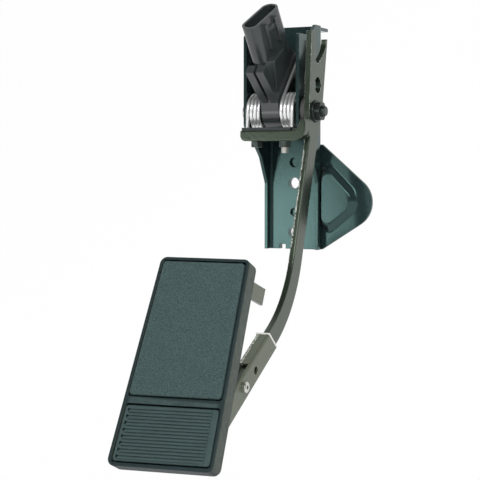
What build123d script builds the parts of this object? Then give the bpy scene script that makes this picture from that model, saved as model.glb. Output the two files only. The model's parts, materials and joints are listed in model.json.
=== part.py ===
"""Suspended accelerator pedal: a channel bracket carries a sprung lever, a position sensor and a foot pad.

Frame: X along the pivot, -Y toward the driver, +Z up. The origin is the middle of the two fixing bolt
holes, on the back face of the wing plate. Lengths in millimetres, angles in degrees.
"""
import os
from math import cos, radians, sin

from build123d import *

os.makedirs("parts", exist_ok=True)

# Fits and gaps
RUNNING_CLEARANCE = 0.05
LOOSE_CLEARANCE = 0.35
SEAT_GAP = 0.3

# Mounting bracket, a folded channel
SHEET = 2.5
CHANNEL_WIDTH = 45.0
BEND_RADIUS = 2.0
BOLT_SPACING = 38.0
BOLT_HOLE_RADIUS = 4.3
UPPER_LOCATING_RADIUS = 3.6
LOWER_LOCATING_RADIUS = 3.0
UPPER_LOCATING_RISE = 16.0
LOWER_LOCATING_DROP = 22.5
WEB_BELOW_BOLT = 13.0
PIVOT_ABOVE_UPPER_BOLT = 53.6
WEB_TO_PIVOT = 32.0
WEB_ABOVE_PIVOT = 66.0
TOP_FLANGE_DEPTH = 24.0
EAR_ABOVE_PIVOT = 57.0
EAR_REACH = 11.0
EAR_SLOPE_DROP = 22.0
LOWER_FLANGE_DEPTH = 8.0
BOTTOM_NOTCH_WIDTH = 5.0
BOTTOM_NOTCH_HEIGHT = 3.5
BOTTOM_NOTCH_X = -9.5

# Wing plate, stamped with a raised rim round a pressed pocket
WING_REACH = 63.0
WING_TOP_BELOW_PIVOT = 24.0
WING_TIP_BELOW_PIVOT = 68.0
WING_TIP_RADIUS = 20.0
WING_RIM = 11.0
BOSS_RISE = 5.0
BOSS_SLOPE_RUN = 8.0
BOSS_STEEPNESS = 12.0
BOSS_DROP = 7.5
BOSS_TIP_RADIUS = 15.0
BOSS_CORNER = 5.0
BOSS_SLOPE_SHAPE = ((0, 0), (0.12, 0.22), (0.5, 0.5), (0.88, 0.78), (1, 1))

# Pivot shaft and what runs on it
SHAFT_RADIUS = 6.0
STUD_RADIUS = 4.0
STUD_BEYOND_NUT = 2.8
BUSH_WALL = 2.0
BUSH_FLANGE_RADIUS = 9.0
BUSH_FLANGE = 1.0
SHAFT_GROOVE_DEPTH = 1.0
CLIP_THICKNESS = 1.0
CLIP_RADIUS = 7.8
THRUST_WASHER_RADIUS = 12.0
PIVOT_WASHER_RADIUS = 8.4
PIVOT_WASHER = 1.2
PIVOT_NUT_FLATS = 13.0
PIVOT_NUT_HEIGHT = 4.0
NUT_ROUND = 1.12
NUT_DRAFT = 4.0

# Lever, one steel piece: upper plate, strap under the springs, and arm
LEVER_GAP = 4.8
LEVER_THICKNESS = 4.3
PLATE_ABOVE_PIVOT = 59.0
PRONG_ABOVE_PIVOT = 54.5
PLATE_FRONT_TOP = -8.0
PLATE_BACK_TOP = 22.8
PLATE_FRONT = -12.3
PLATE_BACK = 12.0
PLATE_TOE = 1.5
NOTCH_FRONT = -1.4
NOTCH_BACK = 19.9
NOTCH_FLOOR = 34.6
LEVER_WINDOW_RADIUS = 6.0
LEVER_WINDOW_Y = 3.6
LEVER_WINDOW_Z = 19.5
STRAP_TOP = -14.4
STRAP_HEIGHT = 7.6
STRAP_FRONT = -20.5
STRAP_DEPTH = 10.3
STRAP_INNER_RADIUS = 8.0
STRAP_OUTER_RADIUS = 9.0
STRAP_END_RADIUS = 4.0
STRAP_SHORT = 1.5
LEVER_EDGE = 0.8
ARM_WIDTH = 14.8
ARM_START_Z = -18.0
ARM_START_Y = -3.0
ARM_LEAN = 18.0
ARM_LENGTH = 129.2
ARM_END_LEAN = 60.0
ARM_BEND_RADIUS = 92.0
ARM_FOOT_LENGTH = 110.0

# Return springs
WIRE_RADIUS = 1.3
COIL_RADIUS = 13.25
COIL_INNER_X = 8.9
COIL_PITCH = 2.95
COIL_WHOLE_TURNS = 3
SPRING_LEG_ANGLE = 42.2
SPRING_LEG_CLEAR = 1.1

# Stop studs and buffer strip on the strap
STOP_STUD_RADIUS = 2.5
LEFT_STUD_X = -9.5
RIGHT_STUD_X = 13.3
STOP_STUD_TIP = 4.2
STOP_NUT_FLATS = 8.0
STOP_NUT_HEIGHT = 4.6
BUFFER_HEIGHT = 2.4
BUFFER_EDGE = 1.0

# Position sensor with its connector
SENSOR_HALF_WIDTH = 7.0
HUB_RADIUS = 12.4
ROTOR_WALL = 3.0
ROTOR_HALF_WIDTH = 6.0
CONNECTOR_TILT = 37.0
CONNECTOR_TURN = 16.0
CONNECTOR_LENGTH = 35.0
CONNECTOR_WIDTH = 14.0
CONNECTOR_DEPTH = 30.0
CONNECTOR_WALL = 1.8
CONNECTOR_CORNER = 6.4
CONNECTOR_NECK = 28.0
CONNECTOR_SIDE = -2.0
LATCH_HALF = 6.0
LATCH_RIB = 3.0
LATCH_STAND = 2.4
LATCH_LOW = 7.0
LATCH_TAB = 4.0
CONNECTOR_BASE_Y = -8.0
CONNECTOR_BASE_Z = 45.0
TERMINAL_COUNT = 6
TERMINAL_PITCH = 4.0
TERMINAL_SIZE = 1.2
TERMINAL_HEIGHT = 14.0
FINGER_WIDTH = 5.9
FINGER_GAP = 2.2
FINGER_REACH = 48.0
FINGER_DEPTH = 7.0
FINGER_LEAN = 52.0
FOOT_HEIGHT = 22.0
FOOT_ABOVE_PIVOT = 30.0
FOOT_THICKNESS = 4.0
FOOT_HALF_WIDTH = 15.0
SENSOR_SCREW_RADIUS = 2.0
SENSOR_SCREW_HEAD = 3.6
SENSOR_SCREW_HEAD_HEIGHT = 3.0
SENSOR_SCREW_SPACING = 22.0
LID_THICKNESS = 1.5
LID_INSET = 3.0

# Foot pad
PAD_TILT = 25.4
PAD_LENGTH = 144.7
PAD_TOP_WIDTH = 68.0
PAD_BOTTOM_WIDTH = 78.2
PAD_SKEW = 1.8
PAD_SLANT = 2.6
PAD_CENTRE_X = 0.0
PAD_AHEAD_OF_ARM = 10.6
PAD_ABOVE_ARM = 28.6
PAD_CORNER = 5.0
RIM_WIDTH = 2.3
RIM_DROP = 0.9
RIM_EDGE = 1.0
WINDOW_CORNER = 2.4
COVER_DEPTH = 4.6
COVER_EDGE = 0.9
GROOVE_WIDTH = 1.1
SHELL_DEPTH = 7.6
SHELL_WALL = 2.4
RIBBED_SHARE = 0.305
RIDGE_WIDTH = 4.6
RIB_COUNT = 16
RIB_RISE = 1.0
RIB_SHARE = 0.55
RIB_MARGIN = 4.2
SLOT_COUNT = 8
SLOT_SIZE = 2.2
SLOT_DEPTH = 2.0
PLATE_THICKNESS = 2.0
PAD_TAB_HEIGHT = 12.0
PAD_TAB_REACH = 30.0
PAD_TAB_ABOVE_CENTRE = 55.0
PAD_TAB_SLANT = 3.5

# Pad bracket, a channel over the end of the arm
BRACKET_SHEET = 1.8
BRACKET_SIDE_CLEARANCE = 1.1
BRACKET_FRONT_CLEARANCE = 0.6
BRACKET_BACK = 5.6
BRACKET_OVERLAP = 68.4
MOUTH_SLANT = 19.4
FRONT_FLANGE_END = 30.0
LINER_CLEARANCE = 0.05
LINER_REACH = 30.0
LINER_LIP = 1.5
BRACKET_BEYOND_ARM = 40.0
BRACKET_HOLE_RADIUS = 2.9
BRACKET_HOLE_BACK = 33.8
BRACKET_HOLE_RISE = 1.2
PIN_RADIUS = 2.6
PIN_HEAD_RADIUS = 3.7
PIN_HEAD = 3.0
PIN_HOLE_RADIUS = 1.3
PIN_TAIL = 1.6
PIN_BACK = 13.0
PIN_RISE = 3.5
PAD_SCREW_RADIUS = 1.8
PAD_SCREW_HEAD = 3.4
PAD_SCREW_HEAD_DEPTH = 2.0
PAD_SCREW_ACROSS = 36.0
PAD_SCREW_ALONG = 96.0
PAD_SCREW_BITE = 2.2

# Places worked out from the sizes above
PIVOT_Y = -(2 * SHEET + WEB_TO_PIVOT)
PIVOT_Z = BOLT_SPACING / 2 + PIVOT_ABOVE_UPPER_BOLT
WEB_FRONT = -2 * SHEET
WEB_BACK = -SHEET
WEB_BOTTOM = -BOLT_SPACING / 2 - WEB_BELOW_BOLT
EAR_OUTER = CHANNEL_WIDTH / 2
EAR_INNER = EAR_OUTER - SHEET
LEVER_INNER = EAR_OUTER + LEVER_GAP
LEVER_OUTER = LEVER_INNER + LEVER_THICKNESS
BUSH_RADIUS = SHAFT_RADIUS + RUNNING_CLEARANCE + BUSH_WALL
STRAP_BOTTOM = STRAP_TOP - STRAP_HEIGHT
STRAP_BACK = STRAP_FRONT + STRAP_DEPTH
EAR_BOTTOM = STRAP_TOP + BUFFER_HEIGHT + SEAT_GAP
STRAP_LEFT = -EAR_OUTER + STRAP_SHORT
STUD_Y = STRAP_BACK - STRAP_DEPTH / 2
STUD_PLACES = ((LEFT_STUD_X, STUD_Y), (RIGHT_STUD_X, STUD_Y))
COIL_TURNS = COIL_WHOLE_TURNS + SPRING_LEG_ANGLE / 360
COIL_OUTER_X = COIL_INNER_X + COIL_PITCH * COIL_TURNS
LEG_PLACES = ((-COIL_OUTER_X, -COIL_RADIUS), (COIL_OUTER_X, -COIL_RADIUS))
PAD_DEPTH = COVER_DEPTH + SHELL_DEPTH


def side_plane(x):
    """Plane across the pivot at x, its local axes Y and Z measured from the pivot."""
    return Plane(origin=(x, PIVOT_Y, PIVOT_Z), x_dir=(0, 1, 0), z_dir=(1, 0, 0))


def front_plane(y):
    """Plane facing the driver at y behind the pivot, its local axes X and Z from the pivot."""
    return Plane(origin=(0, PIVOT_Y + y, PIVOT_Z), x_dir=(1, 0, 0), z_dir=(0, -1, 0))


def level_plane(z):
    """Plane facing up at z above the pivot, its local axes X and Y from the pivot."""
    return Plane(origin=(0, PIVOT_Y, PIVOT_Z + z), x_dir=(1, 0, 0), z_dir=(0, 0, 1))


# Arm centre line, in the pivot's Y and Z
ARM_START = (ARM_START_Y, ARM_START_Z)
ARM_DOWN = (-sin(radians(ARM_LEAN)), -cos(radians(ARM_LEAN)))
ARM_FOOT = (-sin(radians(ARM_END_LEAN)), -cos(radians(ARM_END_LEAN)))
ARM_CORNER = (ARM_START_Y + ARM_LENGTH * ARM_DOWN[0], ARM_START_Z + ARM_LENGTH * ARM_DOWN[1])
ARM_END = (ARM_CORNER[0] + ARM_FOOT_LENGTH * ARM_FOOT[0], ARM_CORNER[1] + ARM_FOOT_LENGTH * ARM_FOOT[1])
FOOT_ORIGIN = (PIVOT_Y + ARM_END[0], PIVOT_Z + ARM_END[1])


def foot_plane(x):
    """Plane across the pivot at x, origin at the arm's end, local x back up the arm, local y upward."""
    return Plane(origin=(x, *FOOT_ORIGIN), x_dir=(0, -ARM_FOOT[0], -ARM_FOOT[1]), z_dir=(1, 0, 0))


# Pad planes: local x along the pivot axis, local y up the pad, facing the driver
PAD_UP = (0, sin(radians(PAD_TILT)), cos(radians(PAD_TILT)))
PAD_OUT = (0, -cos(radians(PAD_TILT)), sin(radians(PAD_TILT)))
PAD_CENTRE = (PAD_CENTRE_X, FOOT_ORIGIN[0] - PAD_AHEAD_OF_ARM, FOOT_ORIGIN[1] + PAD_ABOVE_ARM)


def pad_plane(depth):
    """Plane parallel to the pad's face, depth millimetres behind it."""
    origin = tuple(c - depth * n for c, n in zip(PAD_CENTRE, PAD_OUT))
    return Plane(origin=origin, x_dir=(1, 0, 0), z_dir=PAD_OUT)


def pad_edge(side, y):
    """Place across the pad of its left (-1) or right (1) edge, at y up from its centre."""
    below_top = 0.5 - y / PAD_LENGTH
    half_width = (PAD_TOP_WIDTH + (PAD_BOTTOM_WIDTH - PAD_TOP_WIDTH) * below_top) / 2
    return side * half_width - PAD_SKEW * below_top


def left_drop(y):
    """How far a line across the pad falls at its left end, none at the top and most at the bottom."""
    return PAD_SLANT * (0.5 - y / PAD_LENGTH)


def pad_corners(inset, low=None, high=None):
    """Corners of the tapered pad outline, moved in by inset, between two heights."""
    bottom = -PAD_LENGTH / 2 + inset if low is None else low
    top = PAD_LENGTH / 2 - inset if high is None else high
    return [
        (pad_edge(-1, bottom) + inset, bottom - left_drop(bottom)),
        (pad_edge(1, bottom) - inset, bottom),
        (pad_edge(1, top) - inset, top),
        (pad_edge(-1, top) + inset, top - left_drop(top)),
    ]


# Mounting bracket
with BuildPart() as mounting_bracket:
    with BuildSketch(Plane.XY.offset(WEB_BOTTOM)) as channel_section:
        with BuildLine():
            Polyline(
                (-EAR_OUTER, PIVOT_Y - EAR_REACH),
                (-EAR_OUTER, WEB_BACK),
                (EAR_OUTER, WEB_BACK),
                (EAR_OUTER, PIVOT_Y - EAR_REACH),
                (EAR_INNER, PIVOT_Y - EAR_REACH),
                (EAR_INNER, WEB_FRONT),
                (-EAR_INNER, WEB_FRONT),
                (-EAR_INNER, PIVOT_Y - EAR_REACH),
                close=True,
            )
        make_face()
        fillet(channel_section.vertices().group_by(Axis.Y)[-1], BEND_RADIUS + SHEET)
        fillet(channel_section.vertices().sort_by_distance((EAR_INNER, WEB_FRONT))[0], BEND_RADIUS)
        fillet(channel_section.vertices().sort_by_distance((-EAR_INNER, WEB_FRONT))[0], BEND_RADIUS)
    extrude(amount=PIVOT_Z + WEB_ABOVE_PIVOT - WEB_BOTTOM)
    # Side profile kept of the walls: deep ears round the pivot, shallow flanges below
    with BuildSketch(side_plane(-EAR_OUTER)) as wall_profile:
        with BuildLine():
            top_back = (WEB_TO_PIVOT + SHEET, WEB_ABOVE_PIVOT)
            bottom = WEB_BOTTOM - PIVOT_Z
            flange_front = WEB_TO_PIVOT + SHEET - LOWER_FLANGE_DEPTH
            Polyline(
                top_back,
                (WEB_TO_PIVOT - EAR_REACH, WEB_ABOVE_PIVOT),
                (WEB_TO_PIVOT - 2 * EAR_REACH, EAR_ABOVE_PIVOT),
                (-EAR_REACH, EAR_ABOVE_PIVOT),
                (-EAR_REACH, EAR_BOTTOM),
                (-EAR_REACH + BUSH_WALL + BEND_RADIUS, EAR_BOTTOM),
                (WEB_TO_PIVOT / 2, EAR_BOTTOM - EAR_SLOPE_DROP),
                (flange_front, -PIVOT_ABOVE_UPPER_BOLT),
                (flange_front, bottom),
                (WEB_TO_PIVOT + SHEET, bottom),
                close=True,
            )
        make_face()
        ear_corners = wall_profile.vertices().group_by(Axis.X)[0]
        fillet(ear_corners, BEND_RADIUS)
    extrude(amount=CHANNEL_WIDTH, mode=Mode.INTERSECT)
    # Top flange, folded back
    with BuildSketch(side_plane(-EAR_INNER + BEND_RADIUS)):
        with Locations((WEB_TO_PIVOT, WEB_ABOVE_PIVOT)):
            Rectangle(TOP_FLANGE_DEPTH, SHEET, align=(Align.MIN, Align.MAX))
    extrude(amount=2 * (EAR_INNER - BEND_RADIUS))
    # Bores for the bushes
    with BuildSketch(side_plane(-EAR_OUTER)):
        Circle(BUSH_RADIUS)
    extrude(amount=CHANNEL_WIDTH, mode=Mode.SUBTRACT)
    # Fixing and locating holes, and the small notch in the bottom edge
    with BuildSketch(Plane.XZ):
        with GridLocations(0, BOLT_SPACING, 1, 2):
            Circle(BOLT_HOLE_RADIUS)
        with Locations((0, BOLT_SPACING / 2 + UPPER_LOCATING_RISE)):
            Circle(UPPER_LOCATING_RADIUS)
        with Locations((0, BOLT_SPACING / 2 - LOWER_LOCATING_DROP)):
            Circle(LOWER_LOCATING_RADIUS)
        with Locations((BOTTOM_NOTCH_X, WEB_BOTTOM)):
            Rectangle(BOTTOM_NOTCH_WIDTH, 2 * BOTTOM_NOTCH_HEIGHT)
    extrude(amount=3 * SHEET, mode=Mode.SUBTRACT)
    # Tapped holes for the sensor's screws
    with BuildSketch(front_plane(WEB_TO_PIVOT + SHEET)):
        with Locations((0, FOOT_ABOVE_PIVOT)):
            with GridLocations(SENSOR_SCREW_SPACING, 0, 2, 1):
                Circle(SENSOR_SCREW_RADIUS + RUNNING_CLEARANCE)
    extrude(amount=SHEET, mode=Mode.SUBTRACT)
mounting_bracket.part.label = "mounting_bracket"
export_step(mounting_bracket.part, "parts/mounting_bracket.step")

# Wing plate, spot welded behind the channel
WING_TOP = PIVOT_Z - WING_TOP_BELOW_PIVOT
WING_TIP = PIVOT_Z - WING_TIP_BELOW_PIVOT
BOSS_LEFT = EAR_OUTER + 2 * SEAT_GAP
BOSS_TIP = WING_REACH - WING_RIM + BOSS_TIP_RADIUS / 2


def boss_corners(inset):
    """Corners of the boss outline, moved in by inset on its free sides and steep at the web."""
    return [
        (BOSS_LEFT + inset / BOSS_STEEPNESS, WING_TOP - BOSS_DROP - inset),
        (BOSS_TIP - inset, WING_TIP),
        (BOSS_LEFT + inset / BOSS_STEEPNESS, WEB_BOTTOM + BOSS_DROP + inset),
    ]


with BuildPart() as wing_plate:
    with BuildSketch(Plane.XZ):
        with Locations((WING_REACH - WING_TIP_RADIUS, WING_TIP)):
            Circle(WING_TIP_RADIUS)
        with Locations((0, WEB_BOTTOM)):
            Rectangle(CHANNEL_WIDTH, WING_TOP - WEB_BOTTOM, align=(Align.CENTER, Align.MIN))
        make_hull()
    extrude(amount=SHEET)
    # Pressed boss standing forward of the plate, with long slopes and a hollow behind
    for back, mode in ((SHEET, Mode.ADD), (0, Mode.SUBTRACT)):
        for rise_share, run_share in BOSS_SLOPE_SHAPE:
            inset = run_share * BOSS_SLOPE_RUN
            with BuildSketch(Plane.XZ.offset(back + rise_share * BOSS_RISE)) as boss_outline:
                with BuildLine():
                    Polyline(*boss_corners(inset), close=True)
                make_face()
                fillet(boss_outline.vertices().sort_by(Axis.X)[-1], BOSS_TIP_RADIUS - inset / 2)
                fillet(boss_outline.vertices().group_by(Axis.X)[0], BOSS_CORNER)
        loft(mode=mode)
    # Fixing holes, and the small notch in the bottom edge
    with BuildSketch(Plane.XZ):
        with GridLocations(0, BOLT_SPACING, 1, 2):
            Circle(BOLT_HOLE_RADIUS)
        with Locations((BOTTOM_NOTCH_X, WEB_BOTTOM)):
            Rectangle(BOTTOM_NOTCH_WIDTH, 2 * BOTTOM_NOTCH_HEIGHT)
    extrude(amount=SHEET, mode=Mode.SUBTRACT)
wing_plate.part.label = "wing_plate"
export_step(wing_plate.part, "parts/wing_plate.step")

# Bushes in the ears, flanged on their outer side
for bush_name, side in (("left_bush", -1), ("right_bush", 1)):
    with BuildPart() as bush:
        with BuildSketch(side_plane(side * EAR_INNER)):
            Circle(BUSH_RADIUS - RUNNING_CLEARANCE)
            Circle(SHAFT_RADIUS + RUNNING_CLEARANCE, mode=Mode.SUBTRACT)
        extrude(amount=side * SHEET)
        with BuildSketch(side_plane(side * EAR_OUTER)):
            Circle(BUSH_FLANGE_RADIUS)
            Circle(SHAFT_RADIUS + RUNNING_CLEARANCE, mode=Mode.SUBTRACT)
        extrude(amount=side * BUSH_FLANGE)
    bush.part.label = bush_name
    export_step(bush.part, f"parts/{bush_name}.step")

# Pivot shaft: plain journal, clip groove on the left, shouldered stud through the lever on the right
BUSH_OUTER = EAR_OUTER + BUSH_FLANGE
GROOVE_X = -BUSH_OUTER - SEAT_GAP - CLIP_THICKNESS
NUT_OUTER = LEVER_OUTER + PIVOT_WASHER + PIVOT_NUT_HEIGHT
STUD_END = NUT_OUTER + STUD_BEYOND_NUT
with BuildPart() as pivot_shaft:
    with BuildSketch(side_plane(GROOVE_X - CLIP_THICKNESS)):
        Circle(SHAFT_RADIUS)
    extrude(amount=LEVER_INNER - GROOVE_X + CLIP_THICKNESS)
    with BuildSketch(side_plane(LEVER_INNER)):
        Circle(STUD_RADIUS)
    extrude(amount=STUD_END - LEVER_INNER)
    chamfer(pivot_shaft.edges().group_by(Axis.X)[-1], STUD_RADIUS / 5)
    with BuildSketch(side_plane(GROOVE_X)):
        Circle(SHAFT_RADIUS)
        Circle(SHAFT_RADIUS - SHAFT_GROOVE_DEPTH, mode=Mode.SUBTRACT)
    extrude(amount=CLIP_THICKNESS, mode=Mode.SUBTRACT)
pivot_shaft.part.label = "pivot_shaft"
export_step(pivot_shaft.part, "parts/pivot_shaft.step")

# Snap ring in the shaft's groove
with BuildPart() as shaft_clip:
    with BuildSketch(side_plane(GROOVE_X + RUNNING_CLEARANCE)):
        Circle(CLIP_RADIUS)
        Circle(SHAFT_RADIUS - SHAFT_GROOVE_DEPTH + RUNNING_CLEARANCE, mode=Mode.SUBTRACT)
        with Locations((CLIP_RADIUS, 0)):
            Rectangle(CLIP_RADIUS, SHAFT_RADIUS, mode=Mode.SUBTRACT)
    extrude(amount=CLIP_THICKNESS - 2 * RUNNING_CLEARANCE)
shaft_clip.part.label = "shaft_clip"
export_step(shaft_clip.part, "parts/shaft_clip.step")

# Thrust washer between the right bush and the lever
with BuildPart() as thrust_washer:
    with BuildSketch(side_plane(BUSH_OUTER + SEAT_GAP)):
        Circle(THRUST_WASHER_RADIUS)
        Circle(SHAFT_RADIUS + RUNNING_CLEARANCE, mode=Mode.SUBTRACT)
    extrude(amount=LEVER_INNER - BUSH_OUTER - SEAT_GAP)
    fillet(thrust_washer.edges().filter_by(GeomType.CIRCLE).group_by(SortBy.RADIUS)[-1], SHEET / 5)
thrust_washer.part.label = "thrust_washer"
export_step(thrust_washer.part, "parts/thrust_washer.step")

# Washer and nut that clamp the lever to the shaft
with BuildPart() as pivot_washer:
    with BuildSketch(side_plane(LEVER_OUTER)):
        Circle(PIVOT_WASHER_RADIUS)
        Circle(STUD_RADIUS + RUNNING_CLEARANCE, mode=Mode.SUBTRACT)
    extrude(amount=PIVOT_WASHER)
    chamfer(pivot_washer.edges().group_by(Axis.X)[-1].sort_by(SortBy.RADIUS)[-1], PIVOT_WASHER / 4)
pivot_washer.part.label = "pivot_washer"
export_step(pivot_washer.part, "parts/pivot_washer.step")

with BuildPart() as pivot_nut:
    with BuildSketch(side_plane(LEVER_OUTER + PIVOT_WASHER)):
        RegularPolygon(PIVOT_NUT_FLATS / 2, 6, major_radius=False)
        Circle(STUD_RADIUS + RUNNING_CLEARANCE, mode=Mode.SUBTRACT)
    extrude(amount=PIVOT_NUT_HEIGHT)
    with BuildSketch(side_plane(LEVER_OUTER + PIVOT_WASHER)):
        Circle(NUT_ROUND * PIVOT_NUT_FLATS / 2)
    extrude(amount=PIVOT_NUT_HEIGHT, taper=NUT_DRAFT, mode=Mode.INTERSECT)
pivot_nut.part.label = "pivot_nut"
export_step(pivot_nut.part, "parts/pivot_nut.step")

# Lever
with BuildPart() as lever:
    with BuildSketch(side_plane(LEVER_INNER)) as plate_outline:
        with BuildLine():
            Polyline(
                (PLATE_FRONT_TOP, PLATE_ABOVE_PIVOT),
                (PLATE_BACK_TOP, PLATE_ABOVE_PIVOT),
                (PLATE_BACK, 0),
                (ARM_START_Y + ARM_WIDTH / 2 - PLATE_TOE, ARM_START_Z - ARM_WIDTH / 5 - PLATE_TOE),
                (ARM_START_Y - ARM_WIDTH / 2 - PLATE_TOE, ARM_START_Z + ARM_WIDTH / 8 - PLATE_TOE),
                (PLATE_FRONT, STRAP_TOP),
                (PLATE_FRONT, 0),
                close=True,
            )
        make_face()
        # Open notch at the top, leaving a broad front prong and a thin, lower back prong
        with BuildLine():
            notch_side = Line((NOTCH_FRONT, PLATE_ABOVE_PIVOT), (NOTCH_FRONT, NOTCH_FLOOR + LEVER_WINDOW_RADIUS))
            notch_turn = TangentArc(notch_side @ 1, (LEVER_WINDOW_Y * 2, NOTCH_FLOOR + SHEET), tangent=notch_side % 1)
            notch_back = Spline(
                notch_turn @ 1,
                (NOTCH_BACK, PRONG_ABOVE_PIVOT),
                tangents=(notch_turn % 1, (0, 1)),
            )
            Polyline(
                notch_back @ 1,
                (PLATE_BACK_TOP, PRONG_ABOVE_PIVOT),
                (PLATE_BACK_TOP, PLATE_ABOVE_PIVOT),
                notch_side @ 0,
            )
        make_face(mode=Mode.SUBTRACT)
        with Locations((LEVER_WINDOW_Y, LEVER_WINDOW_Z)):
            Circle(LEVER_WINDOW_RADIUS, mode=Mode.SUBTRACT)
        Circle(STUD_RADIUS + RUNNING_CLEARANCE, mode=Mode.SUBTRACT)
        fillet(plate_outline.vertices().group_by(Axis.Y)[-1], BUSH_WALL / 2)
    extrude(amount=LEVER_THICKNESS)
    # Strap under the springs, turned up into the plate by a round corner
    with BuildSketch(front_plane(STRAP_BACK)) as strap_outline:
        with BuildLine():
            Polyline(
                (STRAP_LEFT, STRAP_TOP),
                (LEVER_INNER, STRAP_TOP),
                (LEVER_INNER, STRAP_TOP + STRAP_INNER_RADIUS),
                (LEVER_OUTER, STRAP_TOP + STRAP_INNER_RADIUS),
                (LEVER_OUTER, STRAP_BOTTOM),
                (STRAP_LEFT, STRAP_BOTTOM),
                close=True,
            )
        make_face()
        fillet(strap_outline.vertices().group_by(Axis.Y)[0].sort_by(Axis.X)[-1], STRAP_OUTER_RADIUS)
        fillet(strap_outline.vertices().sort_by(Axis.Y).sort_by(Axis.X)[0], STRAP_END_RADIUS)
        fillet(strap_outline.vertices().sort_by_distance((LEVER_INNER, STRAP_TOP))[0], STRAP_INNER_RADIUS - SEAT_GAP)
    extrude(amount=STRAP_DEPTH)
    # Arm, an even bar swept down its centre line
    with BuildLine(side_plane(LEVER_INNER + LEVER_THICKNESS / 2)) as arm_line:
        Polyline(ARM_START, ARM_CORNER, ARM_END)
        fillet(arm_line.vertices().sort_by(Axis.Z)[1], ARM_BEND_RADIUS)
    with BuildSketch(Plane(origin=arm_line.line @ 0, x_dir=(1, 0, 0), z_dir=arm_line.line % 0)):
        RectangleRounded(LEVER_THICKNESS, ARM_WIDTH, LEVER_EDGE)
    sweep()
    fillet(lever.faces().filter_by(Axis.Y).sort_by(Axis.Y)[0].edges(), LEVER_EDGE)
    # Holes for the spring legs, the stop studs and the pad bracket's pin
    with BuildSketch(level_plane(STRAP_TOP + STRAP_INNER_RADIUS)):
        with Locations(*LEG_PLACES):
            Circle(WIRE_RADIUS + LOOSE_CLEARANCE)
        with Locations(*STUD_PLACES):
            Circle(STOP_STUD_RADIUS + RUNNING_CLEARANCE)
    extrude(amount=-STRAP_INNER_RADIUS - STRAP_HEIGHT, mode=Mode.SUBTRACT)
    with BuildSketch(foot_plane(LEVER_INNER)):
        with Locations((PIN_BACK, PIN_RISE)):
            Circle(PIN_RADIUS)
    extrude(amount=LEVER_THICKNESS, mode=Mode.SUBTRACT)
lever.part.label = "lever"
export_step(lever.part, "parts/lever.step")

# Buffer strip on the strap, which meets the ears when the pedal is released
with BuildPart() as buffer_strip:
    with BuildSketch(level_plane(STRAP_TOP)):
        with Locations((STRAP_LEFT + BUFFER_EDGE, STUD_Y)):
            Rectangle(
                LEVER_INNER - STRAP_INNER_RADIUS - STRAP_LEFT - BUFFER_EDGE,
                STRAP_DEPTH - 2 * BUFFER_EDGE,
                align=(Align.MIN, Align.CENTER),
            )
        with Locations(*LEG_PLACES):
            Circle(WIRE_RADIUS + LOOSE_CLEARANCE, mode=Mode.SUBTRACT)
        with Locations(*STUD_PLACES):
            Circle(STOP_STUD_RADIUS + RUNNING_CLEARANCE, mode=Mode.SUBTRACT)
    extrude(amount=BUFFER_HEIGHT)
    fillet(buffer_strip.edges().filter_by(Axis.X).group_by(Axis.Z)[-1], BUFFER_EDGE / 2)
buffer_strip.part.label = "buffer_strip"
export_step(buffer_strip.part, "parts/buffer_strip.step")

# Studs that clamp the buffer strip to the strap, and their nuts below it
with BuildPart() as stop_studs:
    for stud_place, tip in zip(STUD_PLACES, (0, STOP_STUD_TIP)):
        with BuildSketch(level_plane(STRAP_TOP + BUFFER_HEIGHT / 2)):
            with Locations(stud_place):
                Circle(STOP_STUD_RADIUS)
        extrude(amount=-(BUFFER_HEIGHT / 2 + STRAP_HEIGHT + STOP_NUT_HEIGHT + tip))
stop_studs.part.label = "stop_studs"
export_step(stop_studs.part, "parts/stop_studs.step")

with BuildPart() as stop_nuts:
    with BuildSketch(level_plane(STRAP_BOTTOM)):
        with Locations(*STUD_PLACES):
            RegularPolygon(STOP_NUT_FLATS / 2, 6, major_radius=False)
            Circle(STOP_STUD_RADIUS + RUNNING_CLEARANCE, mode=Mode.SUBTRACT)
    extrude(amount=-STOP_NUT_HEIGHT)
    chamfer(stop_nuts.faces().group_by(Axis.Z)[0].edges().filter_by(GeomType.LINE), STOP_NUT_HEIGHT / 10)
stop_nuts.part.label = "stop_nuts"
export_step(stop_nuts.part, "parts/stop_nuts.step")

# Right return spring: fixed leg up and back to the web, coil, moving leg down into the strap
LEG_START = 180 - SPRING_LEG_ANGLE
LEG_UP = Vector(0, sin(radians(LEG_START)), -cos(radians(LEG_START)))
LEG_DOWN = Vector(0, 0, -1)
LEG_FOOT_Y = COIL_RADIUS * cos(radians(LEG_START))
FIXED_LEG = (WEB_TO_PIVOT - SPRING_LEG_CLEAR * WIRE_RADIUS - LEG_FOOT_Y) / LEG_UP.Y
MOVING_LEG = -STRAP_BOTTOM - SEAT_GAP
coil_plane = Plane(
    origin=(COIL_INNER_X, PIVOT_Y, PIVOT_Z),
    x_dir=(0, cos(radians(LEG_START)), sin(radians(LEG_START))),
    z_dir=(1, 0, 0),
)
coil = coil_plane * Helix(COIL_PITCH, COIL_PITCH * COIL_TURNS, COIL_RADIUS)
with BuildPart() as right_spring:
    with BuildLine() as coil_line:
        Line(coil @ 0 + LEG_UP * FIXED_LEG, coil @ 0)
        add(coil)
        Line(coil @ 1, coil @ 1 + LEG_DOWN * MOVING_LEG)
    with BuildSketch(Plane(origin=coil @ 0 + LEG_UP * FIXED_LEG, z_dir=LEG_UP)):
        Circle(WIRE_RADIUS)
    sweep(path=coil_line.wires()[0])
right_spring.part.label = "right_spring"
export_step(right_spring.part, "parts/right_spring.step")

# Left return spring, the mirror of the right one
with BuildPart() as left_spring:
    add(mirror(right_spring.part, about=Plane.YZ))
left_spring.part.label = "left_spring"
export_step(left_spring.part, "parts/left_spring.step")

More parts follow.
